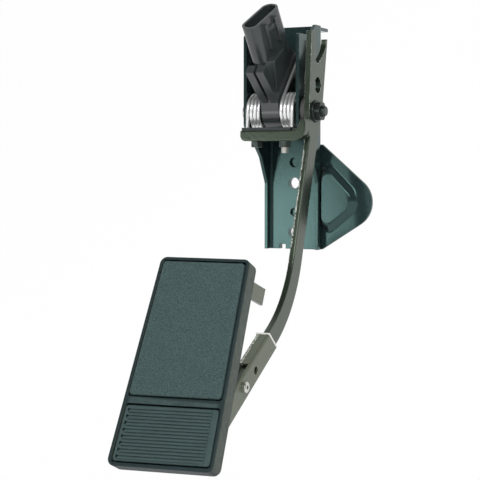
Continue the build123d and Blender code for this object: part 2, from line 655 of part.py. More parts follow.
# Position sensor: hub round the rotor, body up to the connector, foot screwed to the web, two fingers
TILT = radians(CONNECTOR_TILT)
TURN = radians(CONNECTOR_TURN)
CONNECTOR_OUT = (0, -sin(TILT), cos(TILT))
CONNECTOR_ALONG = (sin(TURN), cos(TURN) * cos(TILT), cos(TURN) * sin(TILT))
ROTOR_RADIUS = SHAFT_RADIUS + ROTOR_WALL
FOOT_FRONT = WEB_TO_PIVOT - FOOT_THICKNESS


def connector_plane(height):
    """Plane across the connector, height millimetres out along its axis from its base."""
    base = (CONNECTOR_SIDE, PIVOT_Y + CONNECTOR_BASE_Y, PIVOT_Z + CONNECTOR_BASE_Z)
    origin = tuple(b + height * n for b, n in zip(base, CONNECTOR_OUT))
    return Plane(origin=origin, x_dir=CONNECTOR_ALONG, z_dir=CONNECTOR_OUT)


with BuildPart() as sensor_housing:
    # Hub and body, one side profile carried across
    with BuildSketch(side_plane(-SENSOR_HALF_WIDTH)) as body_profile:
        Circle(HUB_RADIUS)
        with BuildLine():
            Polyline(
                (-HUB_RADIUS, 0),
                (CONNECTOR_BASE_Y - CONNECTOR_LENGTH / 3, CONNECTOR_BASE_Z - CONNECTOR_LENGTH / 4),
                (CONNECTOR_BASE_Y + CONNECTOR_LENGTH / 3, CONNECTOR_BASE_Z + CONNECTOR_LENGTH / 6),
                (WEB_TO_PIVOT, FOOT_ABOVE_PIVOT + FOOT_HEIGHT / 2),
                (WEB_TO_PIVOT, FOOT_ABOVE_PIVOT - FOOT_HEIGHT / 2),
                (HUB_RADIUS, 0),
                close=True,
            )
        make_face()
    extrude(amount=2 * SENSOR_HALF_WIDTH)
    # Foot flange against the web
    with BuildSketch(front_plane(WEB_TO_PIVOT)):
        with Locations((0, FOOT_ABOVE_PIVOT)):
            RectangleRounded(2 * FOOT_HALF_WIDTH, FOOT_HEIGHT, CONNECTOR_WALL)
    extrude(amount=FOOT_THICKNESS)
    # Connector, a rounded socket lofted out of the body
    with BuildSketch(connector_plane(-CONNECTOR_WIDTH / 2)):
        RectangleRounded(CONNECTOR_NECK, CONNECTOR_WIDTH - CONNECTOR_WALL, CONNECTOR_CORNER / 2)
    with BuildSketch(connector_plane(0)):
        RectangleRounded(CONNECTOR_LENGTH, CONNECTOR_WIDTH, CONNECTOR_CORNER)
    loft()
    with BuildSketch(connector_plane(0)):
        RectangleRounded(CONNECTOR_LENGTH, CONNECTOR_WIDTH, CONNECTOR_CORNER)
    extrude(amount=CONNECTOR_DEPTH)
    # Latch on the connector's right side: two guide ribs and a catch between them
    with BuildSketch(connector_plane(LATCH_LOW)):
        with Locations((-LATCH_HALF, -CONNECTOR_WIDTH / 2), (LATCH_HALF, -CONNECTOR_WIDTH / 2)):
            Rectangle(LATCH_RIB, 2 * LATCH_STAND)
    extrude(amount=CONNECTOR_DEPTH - 2 * LATCH_LOW + LATCH_TAB)
    with BuildSketch(connector_plane(CONNECTOR_DEPTH - LATCH_LOW - LATCH_TAB)):
        with Locations((0, -CONNECTOR_WIDTH / 2)):
            Rectangle(2 * LATCH_HALF, LATCH_STAND)
    extrude(amount=LATCH_TAB)
    with BuildSketch(connector_plane(CONNECTOR_WALL)):
        RectangleRounded(
            CONNECTOR_LENGTH - 2 * CONNECTOR_WALL,
            CONNECTOR_WIDTH - 2 * CONNECTOR_WALL,
            CONNECTOR_CORNER - CONNECTOR_WALL,
        )
    extrude(amount=CONNECTOR_DEPTH, mode=Mode.SUBTRACT)
    # Two fingers standing up and forward from the hub
    finger_plane = Plane(
        origin=(0, PIVOT_Y, PIVOT_Z),
        x_dir=(1, 0, 0),
        z_dir=(0, -sin(radians(FINGER_LEAN)), cos(radians(FINGER_LEAN))),
    )
    with BuildSketch(finger_plane.offset(HUB_RADIUS - CONNECTOR_WALL)):
        with GridLocations(FINGER_WIDTH + FINGER_GAP, 0, 2, 1):
            Rectangle(FINGER_WIDTH, FINGER_DEPTH)
    extrude(amount=FINGER_REACH - HUB_RADIUS + CONNECTOR_WALL)
    # Bore for the rotor, recess for the lid, holes for the terminals and the screws
    with BuildSketch(side_plane(-SENSOR_HALF_WIDTH)):
        Circle(ROTOR_RADIUS + RUNNING_CLEARANCE)
    extrude(amount=2 * SENSOR_HALF_WIDTH, mode=Mode.SUBTRACT)
    with BuildSketch(side_plane(-SENSOR_HALF_WIDTH)) as lid_recess:
        with Locations((CONNECTOR_BASE_Y + LID_INSET, CONNECTOR_BASE_Z / 2 + LID_INSET)):
            RectangleRounded(HUB_RADIUS + LID_INSET, HUB_RADIUS + LID_INSET, LID_INSET)
    extrude(amount=LID_THICKNESS, mode=Mode.SUBTRACT)
    with BuildSketch(connector_plane(CONNECTOR_WALL)):
        with GridLocations(TERMINAL_PITCH, 0, TERMINAL_COUNT, 1):
            Rectangle(TERMINAL_SIZE, TERMINAL_SIZE)
    extrude(amount=-CONNECTOR_WALL, mode=Mode.SUBTRACT)
    with BuildSketch(front_plane(WEB_TO_PIVOT)):
        with Locations((0, FOOT_ABOVE_PIVOT)):
            with GridLocations(SENSOR_SCREW_SPACING, 0, 2, 1):
                Circle(SENSOR_SCREW_RADIUS + RUNNING_CLEARANCE)
    extrude(amount=FOOT_THICKNESS, mode=Mode.SUBTRACT)
sensor_housing.part.label = "sensor_housing"
export_step(sensor_housing.part, "parts/sensor_housing.step")

# Lid over the sensor's circuit, let into the left side
with BuildPart() as sensor_lid:
    with BuildSketch(side_plane(-SENSOR_HALF_WIDTH)):
        with Locations((CONNECTOR_BASE_Y + LID_INSET, CONNECTOR_BASE_Z / 2 + LID_INSET)):
            lid_side = HUB_RADIUS + LID_INSET - 2 * RUNNING_CLEARANCE
            RectangleRounded(lid_side, lid_side, LID_INSET)
    extrude(amount=LID_THICKNESS)
sensor_lid.part.label = "sensor_lid"
export_step(sensor_lid.part, "parts/sensor_lid.step")

# Terminals standing in the connector
with BuildPart() as connector_terminals:
    with BuildSketch(connector_plane(0)):
        with GridLocations(TERMINAL_PITCH, 0, TERMINAL_COUNT, 1):
            Rectangle(TERMINAL_SIZE, TERMINAL_SIZE)
    extrude(amount=TERMINAL_HEIGHT)
connector_terminals.part.label = "connector_terminals"
export_step(connector_terminals.part, "parts/connector_terminals.step")

# Rotor pressed on the shaft, turning in the hub
with BuildPart() as sensor_rotor:
    with BuildSketch(side_plane(-ROTOR_HALF_WIDTH)):
        Circle(ROTOR_RADIUS)
        Circle(SHAFT_RADIUS, mode=Mode.SUBTRACT)
    extrude(amount=2 * ROTOR_HALF_WIDTH)
sensor_rotor.part.label = "sensor_rotor"
export_step(sensor_rotor.part, "parts/sensor_rotor.step")

# Screws that hold the sensor's foot to the web
with BuildPart() as sensor_screws:
    with BuildSketch(front_plane(WEB_TO_PIVOT + SHEET)):
        with Locations((0, FOOT_ABOVE_PIVOT)):
            with GridLocations(SENSOR_SCREW_SPACING, 0, 2, 1):
                Circle(SENSOR_SCREW_RADIUS)
    extrude(amount=SHEET + FOOT_THICKNESS)
    with BuildSketch(front_plane(FOOT_FRONT)):
        with Locations((0, FOOT_ABOVE_PIVOT)):
            with GridLocations(SENSOR_SCREW_SPACING, 0, 2, 1):
                Circle(SENSOR_SCREW_HEAD)
    extrude(amount=SENSOR_SCREW_HEAD_HEIGHT)
    fillet(sensor_screws.edges().group_by(Axis.Y)[0], SENSOR_SCREW_HEAD_HEIGHT / 4)
sensor_screws.part.label = "sensor_screws"
export_step(sensor_screws.part, "parts/sensor_screws.step")

# Tread panel, the grained rubber insert above the ridge
RIDGE_Y = PAD_LENGTH * (RIBBED_SHARE - 0.5)


def upper_window(inset):
    """Corners of the tray's upper window, moved in by inset."""
    return pad_corners(RIM_WIDTH + inset, low=RIDGE_Y + RIDGE_WIDTH / 2 + inset)


def lower_window(inset):
    """Corners of the tray's lower window, moved in by inset."""
    return pad_corners(RIM_WIDTH + inset, high=RIDGE_Y - RIDGE_WIDTH / 2 - inset)


with BuildPart() as tread_panel:
    with BuildSketch(pad_plane(COVER_DEPTH)) as panel_outline:
        with BuildLine():
            Polyline(*upper_window(GROOVE_WIDTH), close=True)
        make_face()
        fillet(panel_outline.vertices(), WINDOW_CORNER)
    extrude(amount=COVER_DEPTH)
    fillet(tread_panel.faces().sort_by(Axis((0, 0, 0), PAD_OUT))[-1].edges(), COVER_EDGE)
    # Blind holes for the screws from behind
    with BuildSketch(pad_plane(COVER_DEPTH)):
        with Locations((0, PAD_SCREW_ALONG / 2)):
            with GridLocations(PAD_SCREW_ACROSS, 0, 2, 1):
                Circle(PAD_SCREW_RADIUS + RUNNING_CLEARANCE)
    extrude(amount=PAD_SCREW_BITE, mode=Mode.SUBTRACT)
tread_panel.part.label = "tread_panel"
export_step(tread_panel.part, "parts/tread_panel.step")

# Ribbed panel below the ridge, with a row of pits at the ribs' left ends
with BuildPart() as ribbed_panel:
    with BuildSketch(pad_plane(COVER_DEPTH)) as ribbed_outline:
        with BuildLine():
            Polyline(*lower_window(GROOVE_WIDTH), close=True)
        make_face()
        fillet(ribbed_outline.vertices(), WINDOW_CORNER)
    extrude(amount=COVER_DEPTH - RIB_RISE)
    fillet(ribbed_panel.faces().sort_by(Axis((0, 0, 0), PAD_OUT))[-1].edges(), COVER_EDGE)
    rib_inset = RIM_WIDTH + GROOVE_WIDTH + RIB_MARGIN
    rib_low = -PAD_LENGTH / 2 + RIM_WIDTH + GROOVE_WIDTH + COVER_EDGE
    rib_high = RIDGE_Y - RIDGE_WIDTH / 2 - GROOVE_WIDTH - COVER_EDGE
    rib_pitch = (rib_high - rib_low) / RIB_COUNT
    with BuildSketch(pad_plane(RIB_RISE)):
        for rib in range(RIB_COUNT):
            rib_y = rib_low + (rib + 0.5) * rib_pitch
            rib_left = (pad_edge(-1, rib_y) + rib_inset, rib_y - left_drop(rib_y))
            rib_right = (pad_edge(1, rib_y) - rib_inset, rib_y)
            with BuildLine():
                Line(rib_left, rib_right)
            trace(line_width=RIB_SHARE * rib_pitch)
    extrude(amount=RIB_RISE)
    with BuildSketch(pad_plane(RIB_RISE)):
        for slot in range(SLOT_COUNT):
            slot_y = rib_low + (2 * slot + 1) * rib_pitch
            with Locations((pad_edge(-1, slot_y) + rib_inset - SLOT_SIZE / 2, slot_y - left_drop(slot_y))):
                Rectangle(SLOT_SIZE, SLOT_SIZE)
    extrude(amount=-SLOT_DEPTH, mode=Mode.SUBTRACT)
    with BuildSketch(pad_plane(COVER_DEPTH)):
        with Locations((0, -PAD_SCREW_ALONG / 2)):
            with GridLocations(PAD_SCREW_ACROSS, 0, 2, 1):
                Circle(PAD_SCREW_RADIUS + RUNNING_CLEARANCE)
    extrude(amount=PAD_SCREW_BITE, mode=Mode.SUBTRACT)
ribbed_panel.part.label = "ribbed_panel"
export_step(ribbed_panel.part, "parts/ribbed_panel.step")

# Pad shell: a tray with a rim and a cross ridge round the two panels, hollow behind
with BuildPart() as pad_shell:
    with BuildSketch(pad_plane(PAD_DEPTH)) as shell_outline:
        with BuildLine():
            Polyline(*pad_corners(0), close=True)
        make_face()
        fillet(shell_outline.vertices(), PAD_CORNER)
    extrude(amount=PAD_DEPTH - RIM_DROP)
    fillet(pad_shell.faces().sort_by(Axis((0, 0, 0), PAD_OUT))[-1].edges(), RIM_EDGE)
    with BuildSketch(pad_plane(PAD_DEPTH)) as shell_hollow:
        with BuildLine():
            Polyline(*pad_corners(SHELL_WALL), close=True)
        make_face()
        fillet(shell_hollow.vertices(), PAD_CORNER - SHELL_WALL)
    extrude(amount=SHELL_DEPTH - SHELL_WALL, mode=Mode.SUBTRACT)
    for window in (upper_window(0), lower_window(0)):
        with BuildSketch(pad_plane(COVER_DEPTH)) as window_outline:
            with BuildLine():
                Polyline(*window, close=True)
            make_face()
            fillet(window_outline.vertices(), WINDOW_CORNER)
        extrude(amount=COVER_DEPTH, mode=Mode.SUBTRACT)
    with BuildSketch(pad_plane(COVER_DEPTH + SHELL_WALL)):
        with GridLocations(PAD_SCREW_ACROSS, PAD_SCREW_ALONG, 2, 2):
            Circle(PAD_SCREW_RADIUS + RUNNING_CLEARANCE)
    extrude(amount=SHELL_WALL, mode=Mode.SUBTRACT)
pad_shell.part.label = "pad_shell"
export_step(pad_shell.part, "parts/pad_shell.step")

# Steel plate in the tray, with a tab turned back at its upper right
PLATE_FACE = COVER_DEPTH + SHELL_WALL
PLATE_REAR = PLATE_FACE + PLATE_THICKNESS
with BuildPart() as pad_plate:
    with BuildSketch(pad_plane(PLATE_REAR)) as plate_sheet:
        with BuildLine():
            Polyline(*pad_corners(SHELL_WALL + SEAT_GAP), close=True)
        make_face()
        fillet(plate_sheet.vertices(), PAD_CORNER - SHELL_WALL)
    extrude(amount=PLATE_THICKNESS)
    tab_x = PAD_CENTRE_X + pad_edge(1, PAD_TAB_ABOVE_CENTRE + PAD_TAB_HEIGHT) - SHELL_WALL - SEAT_GAP
    tab_origin = pad_plane(PLATE_FACE).origin + Vector(*PAD_UP) * PAD_TAB_ABOVE_CENTRE
    tab_plane = Plane(origin=(tab_x, tab_origin.Y, tab_origin.Z), x_dir=PAD_UP, z_dir=(-1, 0, 0))
    with BuildSketch(tab_plane):
        with BuildLine():
            Polyline(
                (-PAD_TAB_HEIGHT / 2, 0),
                (PAD_TAB_HEIGHT / 2, 0),
                (PAD_TAB_HEIGHT / 2 + PAD_TAB_SLANT, PAD_TAB_REACH),
                (-PAD_TAB_HEIGHT / 2 + PAD_TAB_SLANT, PAD_TAB_REACH),
                close=True,
            )
        make_face()
    extrude(amount=PLATE_THICKNESS)
    with BuildSketch(pad_plane(PLATE_REAR)):
        with GridLocations(PAD_SCREW_ACROSS, PAD_SCREW_ALONG, 2, 2):
            Circle(PAD_SCREW_RADIUS + RUNNING_CLEARANCE)
    extrude(amount=PLATE_THICKNESS, mode=Mode.SUBTRACT)
pad_plate.part.label = "pad_plate"
export_step(pad_plate.part, "parts/pad_plate.step")

# Screws through the plate and tray into the cover
with BuildPart() as pad_screws:
    with BuildSketch(pad_plane(PLATE_REAR)):
        with GridLocations(PAD_SCREW_ACROSS, PAD_SCREW_ALONG, 2, 2):
            Circle(PAD_SCREW_RADIUS)
    extrude(amount=PLATE_THICKNESS + SHELL_WALL + PAD_SCREW_BITE)
    with BuildSketch(pad_plane(PLATE_REAR + PAD_SCREW_HEAD_DEPTH)):
        with GridLocations(PAD_SCREW_ACROSS, PAD_SCREW_ALONG, 2, 2):
            Circle(PAD_SCREW_HEAD)
    extrude(amount=PAD_SCREW_HEAD_DEPTH)
pad_screws.part.label = "pad_screws"
export_step(pad_screws.part, "parts/pad_screws.step")

# Pad bracket, a channel folded over the end of the arm and welded to the pad's plate
BRACKET_INNER = LEVER_INNER - BRACKET_SIDE_CLEARANCE
BRACKET_SPAN = LEVER_THICKNESS + 2 * BRACKET_SIDE_CLEARANCE
BRACKET_HEIGHT = BRACKET_BACK + ARM_WIDTH / 2 + BRACKET_FRONT_CLEARANCE
ALONG_FOOT = Axis((0, 0, 0), (0, *ARM_FOOT))
ACROSS_FOOT = Axis((0, 0, 0), foot_plane(0).y_dir)


def mouth_plane(distance):
    """Plane across the bracket's slanted mouth, distance millimetres beyond it up the arm."""
    foot = foot_plane(0)
    slant = radians(MOUTH_SLANT)
    facing = foot.x_dir * cos(slant) + foot.y_dir * sin(slant)
    corner = foot.origin + foot.x_dir * BRACKET_OVERLAP - foot.y_dir * BRACKET_BACK
    return Plane(origin=corner + facing * distance, z_dir=facing)


with BuildPart() as pad_bracket:
    with BuildSketch(foot_plane(BRACKET_INNER - BRACKET_SHEET)):
        with Locations((BRACKET_OVERLAP, -BRACKET_BACK)):
            Rectangle(
                BRACKET_OVERLAP + BRACKET_BEYOND_ARM,
                BRACKET_HEIGHT + BRACKET_SHEET,
                align=(Align.MAX, Align.MIN),
            )
    extrude(amount=BRACKET_SPAN + 2 * BRACKET_SHEET)
    fillet(pad_bracket.edges().filter_by(ALONG_FOOT).group_by(ACROSS_FOOT)[-1], BRACKET_SHEET)
    with BuildSketch(foot_plane(BRACKET_INNER)):
        with Locations((BRACKET_OVERLAP, -BRACKET_BACK)):
            Rectangle(BRACKET_OVERLAP + BRACKET_BEYOND_ARM, BRACKET_HEIGHT, align=(Align.MAX, Align.MIN))
        with Locations((FRONT_FLANGE_END, -BRACKET_BACK)):
            Rectangle(
                FRONT_FLANGE_END + BRACKET_BEYOND_ARM,
                BRACKET_HEIGHT + BRACKET_SHEET,
                align=(Align.MAX, Align.MIN),
            )
    extrude(amount=BRACKET_SPAN, mode=Mode.SUBTRACT)
    with BuildSketch(foot_plane(BRACKET_INNER - BRACKET_SHEET)):
        with Locations((BRACKET_HOLE_BACK, BRACKET_HOLE_RISE)):
            Circle(BRACKET_HOLE_RADIUS)
        with Locations((PIN_BACK, PIN_RISE)):
            Circle(PIN_RADIUS)
    extrude(amount=BRACKET_SPAN + 2 * BRACKET_SHEET, mode=Mode.SUBTRACT)
    split(bisect_by=mouth_plane(0), keep=Keep.BOTTOM)
    split(bisect_by=pad_plane(PLATE_REAR), keep=Keep.BOTTOM)
    # Relief in the right wall round the tray's edge
    with BuildSketch(pad_plane(PAD_DEPTH + SEAT_GAP)):
        Rectangle(2 * PAD_BOTTOM_WIDTH, PAD_LENGTH)
        with BuildLine():
            Polyline(*pad_corners(SHELL_WALL + SEAT_GAP), close=True)
        make_face(mode=Mode.SUBTRACT)
    extrude(amount=PAD_DEPTH, mode=Mode.SUBTRACT)
pad_bracket.part.label = "pad_bracket"
export_step(pad_bracket.part, "parts/pad_bracket.step")

# Pale liner between the bracket and the arm, with a lip at the mouth
with BuildPart() as bracket_liner:
    with BuildSketch(foot_plane(BRACKET_INNER + LINER_CLEARANCE)):
        with Locations((BRACKET_OVERLAP, -BRACKET_BACK)):
            Rectangle(LINER_REACH, BRACKET_HEIGHT - LINER_CLEARANCE, align=(Align.MAX, Align.MIN))
    extrude(amount=BRACKET_SPAN - 2 * LINER_CLEARANCE)
    with BuildSketch(foot_plane(BRACKET_INNER - BRACKET_SHEET)):
        with Locations((BRACKET_OVERLAP - LINER_REACH, -BRACKET_BACK)):
            Rectangle(
                LINER_REACH + 2 * LINER_LIP,
                BRACKET_HEIGHT + BRACKET_SHEET,
                align=(Align.MIN, Align.MIN),
            )
    lip = extrude(amount=BRACKET_SPAN + 2 * BRACKET_SHEET, mode=Mode.PRIVATE)
    add(split(lip, bisect_by=mouth_plane(0), keep=Keep.TOP, mode=Mode.PRIVATE))
    split(bisect_by=mouth_plane(LINER_LIP), keep=Keep.BOTTOM)
    with BuildSketch(foot_plane(LEVER_INNER - LINER_CLEARANCE)):
        with Locations((BRACKET_OVERLAP + 2 * LINER_LIP, -BRACKET_BACK)):
            Rectangle(
                LINER_REACH + 3 * LINER_LIP,
                BRACKET_BACK + ARM_WIDTH / 2 + LINER_CLEARANCE,
                align=(Align.MAX, Align.MIN),
            )
    extrude(amount=LEVER_THICKNESS + 2 * LINER_CLEARANCE, mode=Mode.SUBTRACT)
bracket_liner.part.label = "bracket_liner"
export_step(bracket_liner.part, "parts/bracket_liner.step")

# Pin through the bracket and the arm, headed on the right and upset on the left
with BuildPart() as pad_pin:
    with BuildSketch(foot_plane(BRACKET_INNER - BRACKET_SHEET)):
        with Locations((PIN_BACK, PIN_RISE)):
            Circle(PIN_RADIUS)
    extrude(amount=BRACKET_SPAN + 2 * BRACKET_SHEET)
    with BuildSketch(foot_plane(BRACKET_INNER + BRACKET_SPAN + BRACKET_SHEET)):
        with Locations((PIN_BACK, PIN_RISE)):
            Circle(PIN_HEAD_RADIUS)
    extrude(amount=PIN_HEAD)
    with BuildSketch(foot_plane(BRACKET_INNER - BRACKET_SHEET)):
        with Locations((PIN_BACK, PIN_RISE)):
            Circle(PIN_HEAD_RADIUS)
    extrude(amount=-PIN_TAIL)
    chamfer(pad_pin.edges().group_by(Axis.X)[-1], PIN_HEAD_RADIUS / 6)
    with BuildSketch(foot_plane(BRACKET_INNER + BRACKET_SPAN + BRACKET_SHEET + PIN_HEAD)):
        with Locations((PIN_BACK, PIN_RISE)):
            Circle(PIN_HOLE_RADIUS)
    extrude(amount=-PIN_HEAD, mode=Mode.SUBTRACT)
pad_pin.part.label = "pad_pin"
export_step(pad_pin.part, "parts/pad_pin.step")
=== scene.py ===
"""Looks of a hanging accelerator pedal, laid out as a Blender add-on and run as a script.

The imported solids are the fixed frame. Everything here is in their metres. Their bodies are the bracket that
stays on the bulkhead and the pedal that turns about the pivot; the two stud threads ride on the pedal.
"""

import json
import math

import bpy
import numpy as np
from bpy.props import FloatProperty, FloatVectorProperty, IntProperty, PointerProperty
from mathutils import Matrix, Vector


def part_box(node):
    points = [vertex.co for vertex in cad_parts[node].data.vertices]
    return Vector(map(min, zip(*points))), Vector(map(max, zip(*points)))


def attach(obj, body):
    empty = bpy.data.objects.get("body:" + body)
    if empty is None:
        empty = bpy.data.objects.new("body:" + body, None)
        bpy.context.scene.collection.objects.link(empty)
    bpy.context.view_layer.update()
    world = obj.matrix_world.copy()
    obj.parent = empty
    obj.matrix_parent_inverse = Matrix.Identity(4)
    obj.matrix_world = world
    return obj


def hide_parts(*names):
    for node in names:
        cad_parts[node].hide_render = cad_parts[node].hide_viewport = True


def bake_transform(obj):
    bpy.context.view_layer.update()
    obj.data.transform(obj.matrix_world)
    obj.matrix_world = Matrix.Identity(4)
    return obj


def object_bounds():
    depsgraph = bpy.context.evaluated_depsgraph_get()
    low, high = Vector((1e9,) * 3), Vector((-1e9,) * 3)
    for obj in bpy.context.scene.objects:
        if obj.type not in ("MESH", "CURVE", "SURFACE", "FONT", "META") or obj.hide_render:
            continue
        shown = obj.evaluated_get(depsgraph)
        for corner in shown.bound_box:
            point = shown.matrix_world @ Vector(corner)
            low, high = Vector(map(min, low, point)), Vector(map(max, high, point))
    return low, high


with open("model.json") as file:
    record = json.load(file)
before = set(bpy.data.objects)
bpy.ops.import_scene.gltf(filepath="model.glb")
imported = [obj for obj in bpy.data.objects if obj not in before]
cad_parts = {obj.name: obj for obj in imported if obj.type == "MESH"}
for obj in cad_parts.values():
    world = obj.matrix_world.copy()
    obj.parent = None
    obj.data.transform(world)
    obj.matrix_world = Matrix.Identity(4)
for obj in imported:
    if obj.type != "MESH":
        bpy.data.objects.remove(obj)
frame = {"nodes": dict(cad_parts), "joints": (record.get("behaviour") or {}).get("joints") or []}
CAD_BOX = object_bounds()

bl_info = {
    "name": "Accelerator Pedal Looks",
    "version": (1, 0, 0),
    "blender": (4, 5, 0),
    "location": "3D View > Sidebar > Pedal",
    "description": "Finishes, springs, threads and studio for a hanging accelerator pedal",
    "category": "Object",
}

MM = 0.001
FULL_TURN = 2 * math.pi
PIVOT = np.array(frame["joints"][0]["pos_m"])
PICTURE_SIZE = 480  # Width and height of the picture, in pixels
PIVOT_PIXEL = (277, 112)  # The pivot in the picture, in pixels from its top left corner


# Settings


def colour_property(name, description, default):
    """Colour setting, as linear red, green and blue."""
    return FloatVectorProperty(
        name=name, description=description, default=default, size=3, subtype="COLOR", min=0, max=1
    )


def length_property(name, description, default, least=0.0):
    """Length setting in metres, no smaller than the least."""
    return FloatProperty(
        name=name, description=description, default=default, min=least, precision=5, unit="LENGTH"
    )


def place_property(name, description, default):
    """Place setting, in metres along X, Y and Z."""
    return FloatVectorProperty(
        name=name, description=description, default=default, size=3, subtype="TRANSLATION", unit="LENGTH"
    )


def angle_property(name, description, degrees):
    """Angle setting, with its default in degrees."""
    return FloatProperty(name=name, description=description, default=math.radians(degrees), subtype="ANGLE")


def power_property(name, description, default):
    """Power of a lamp, in watts."""
    return FloatProperty(name=name, description=description, default=default, min=0, unit="POWER")


class PedalFinishes(bpy.types.PropertyGroup):
    """Colours of the coats, plating, plastics and rubber, where the coats are worn, and where highlights and
    light are painted on.
    """

    bracket_coat: colour_property(
        "Bracket coat", "Gloss coat on the channel and the wing", (0.011, 0.020, 0.021)
    )
    lever_coat: colour_property("Lever coat", "Satin coat on the lever", (0.008, 0.013, 0.008))
    pad_bracket_coat: colour_property(
        "Pad bracket coat", "Paler satin coat on the pad bracket", (0.066, 0.072, 0.050)
    )
    bracket_tint: colour_property(
        "Bracket tint", "Colour of what the bracket's coat mirrors", (0.55, 1.0, 0.95)
    )
    lever_tint: colour_property("Lever tint", "Colour of what the lever's coat mirrors", (0.82, 1.0, 0.78))
    # Bare steel colour, painted on edges both where the coat is rubbed and as a highlight
    bare_edge_and_highlight: colour_property("Bare edge", "Steel showing where the coat is rubbed", (0.70, 0.72, 0.66))
    arm_left: length_property(
        "Arm's left side", "From the middle of the pedal to the arm's left side", 27.3 * MM
    )
    # The bright line on the arm's left side is partly a sheared burr and partly a painted highlight
    burr_highlight_width: length_property(
        "Burr width", "How far the sheared burr reaches from the arm's left side", 1.3 * MM
    )
    burr_highlight_foot: length_property("Burr foot", "Height at which the burr on the arm ends", -27 * MM, least=-0.2)
    burr_highlight_top: length_property("Burr top", "Height at which the burr on the arm begins", 44 * MM)
    # The pad bracket's worn left edge also takes a painted highlight
    bracket_wear_highlight: length_property("Bracket wear", "How far the pad bracket's left edge is worn", 3.0 * MM)
    zinc: colour_property(
        "Zinc", "Bright plating on the sensor screws, stop studs, clip, pin and terminals", (0.62, 0.62, 0.58)
    )
    dark_zinc: colour_property(
        "Dark zinc", "Dull plating on the shaft, nuts, pivot washer and pad screws", (0.072, 0.088, 0.082)
    )
    wire: colour_property("Spring wire", "Bright plating on the return springs", (0.97, 0.98, 0.98))
    sensor: colour_property("Sensor", "Moulded black of the sensor and its socket", (0.030, 0.037, 0.037))
    bush: colour_property("Bush", "Bearing plastic of the bushes and the thrust washer", (0.05, 0.05, 0.046))
    tread: colour_property("Tread", "Slate rubber of the pad's tread", (0.045, 0.073, 0.073))
    shell: colour_property("Shell", "Moulded tray round the tread", (0.013, 0.025, 0.027))
    # Painted light: colour that lightens the tray's sides where a face turns left or right
    painted_side_light: colour_property("Scuffed tray", "Sides of the tray, dulled by shoes", (0.078, 0.094, 0.080))
    liner: colour_property("Liner", "Pale liner in the mouth of the pad bracket", (0.78, 0.78, 0.75))


class PedalSprings(bpy.types.PropertyGroup):
    """Sizes of the two torsion springs round the shaft."""

    wire_radius: length_property("Wire radius", "Half the wire's thickness", 1.3 * MM)
    coil_radius: length_property("Coil radius", "From the pivot to the middle of the wire", 13.25 * MM)
    inner_x: length_property("Inner end", "From the middle of the pedal to the first turn", 8.9 * MM)
    pitch: length_property("Pitch", "Advance of each turn along the shaft", 2.95 * MM)
    whole_turns: IntProperty(
        name="Whole turns", description="Full turns, without the part turn", default=3, min=1
    )
    leg_angle: angle_property("Leg angle", "Turn between the two legs beyond the whole turns", 42.2)
    sides: IntProperty(name="Sides", description="Points round the wire", default=20, min=6)
    turn_steps: IntProperty(
        name="Turn steps",
        description="Points along each turn, the part turn counted as one",
        default=48,
        min=8,
    )
    leg_steps: IntProperty(name="Leg steps", description="Points along each straight leg", default=24, min=2)


class PedalThreads(bpy.types.PropertyGroup):
    """Screw threads on the ends of the studs."""

    pivot_radius: length_property("Pivot radius", "Radius of the plain pivot stud", 4.0 * MM)
    stop_radius: length_property("Stop radius", "Radius of the plain stop stud", 2.5 * MM)
    pivot_pitch: length_property("Pivot pitch", "Advance of the pivot stud's thread", 1.25 * MM)
    stop_pitch: length_property("Stop pitch", "Advance of the stop stud's thread", 0.8 * MM)
    depth: length_property("Depth", "From crest to root", 0.5 * MM)
    stand: length_property("Stand", "Crest above the plain stud", 0.18 * MM)


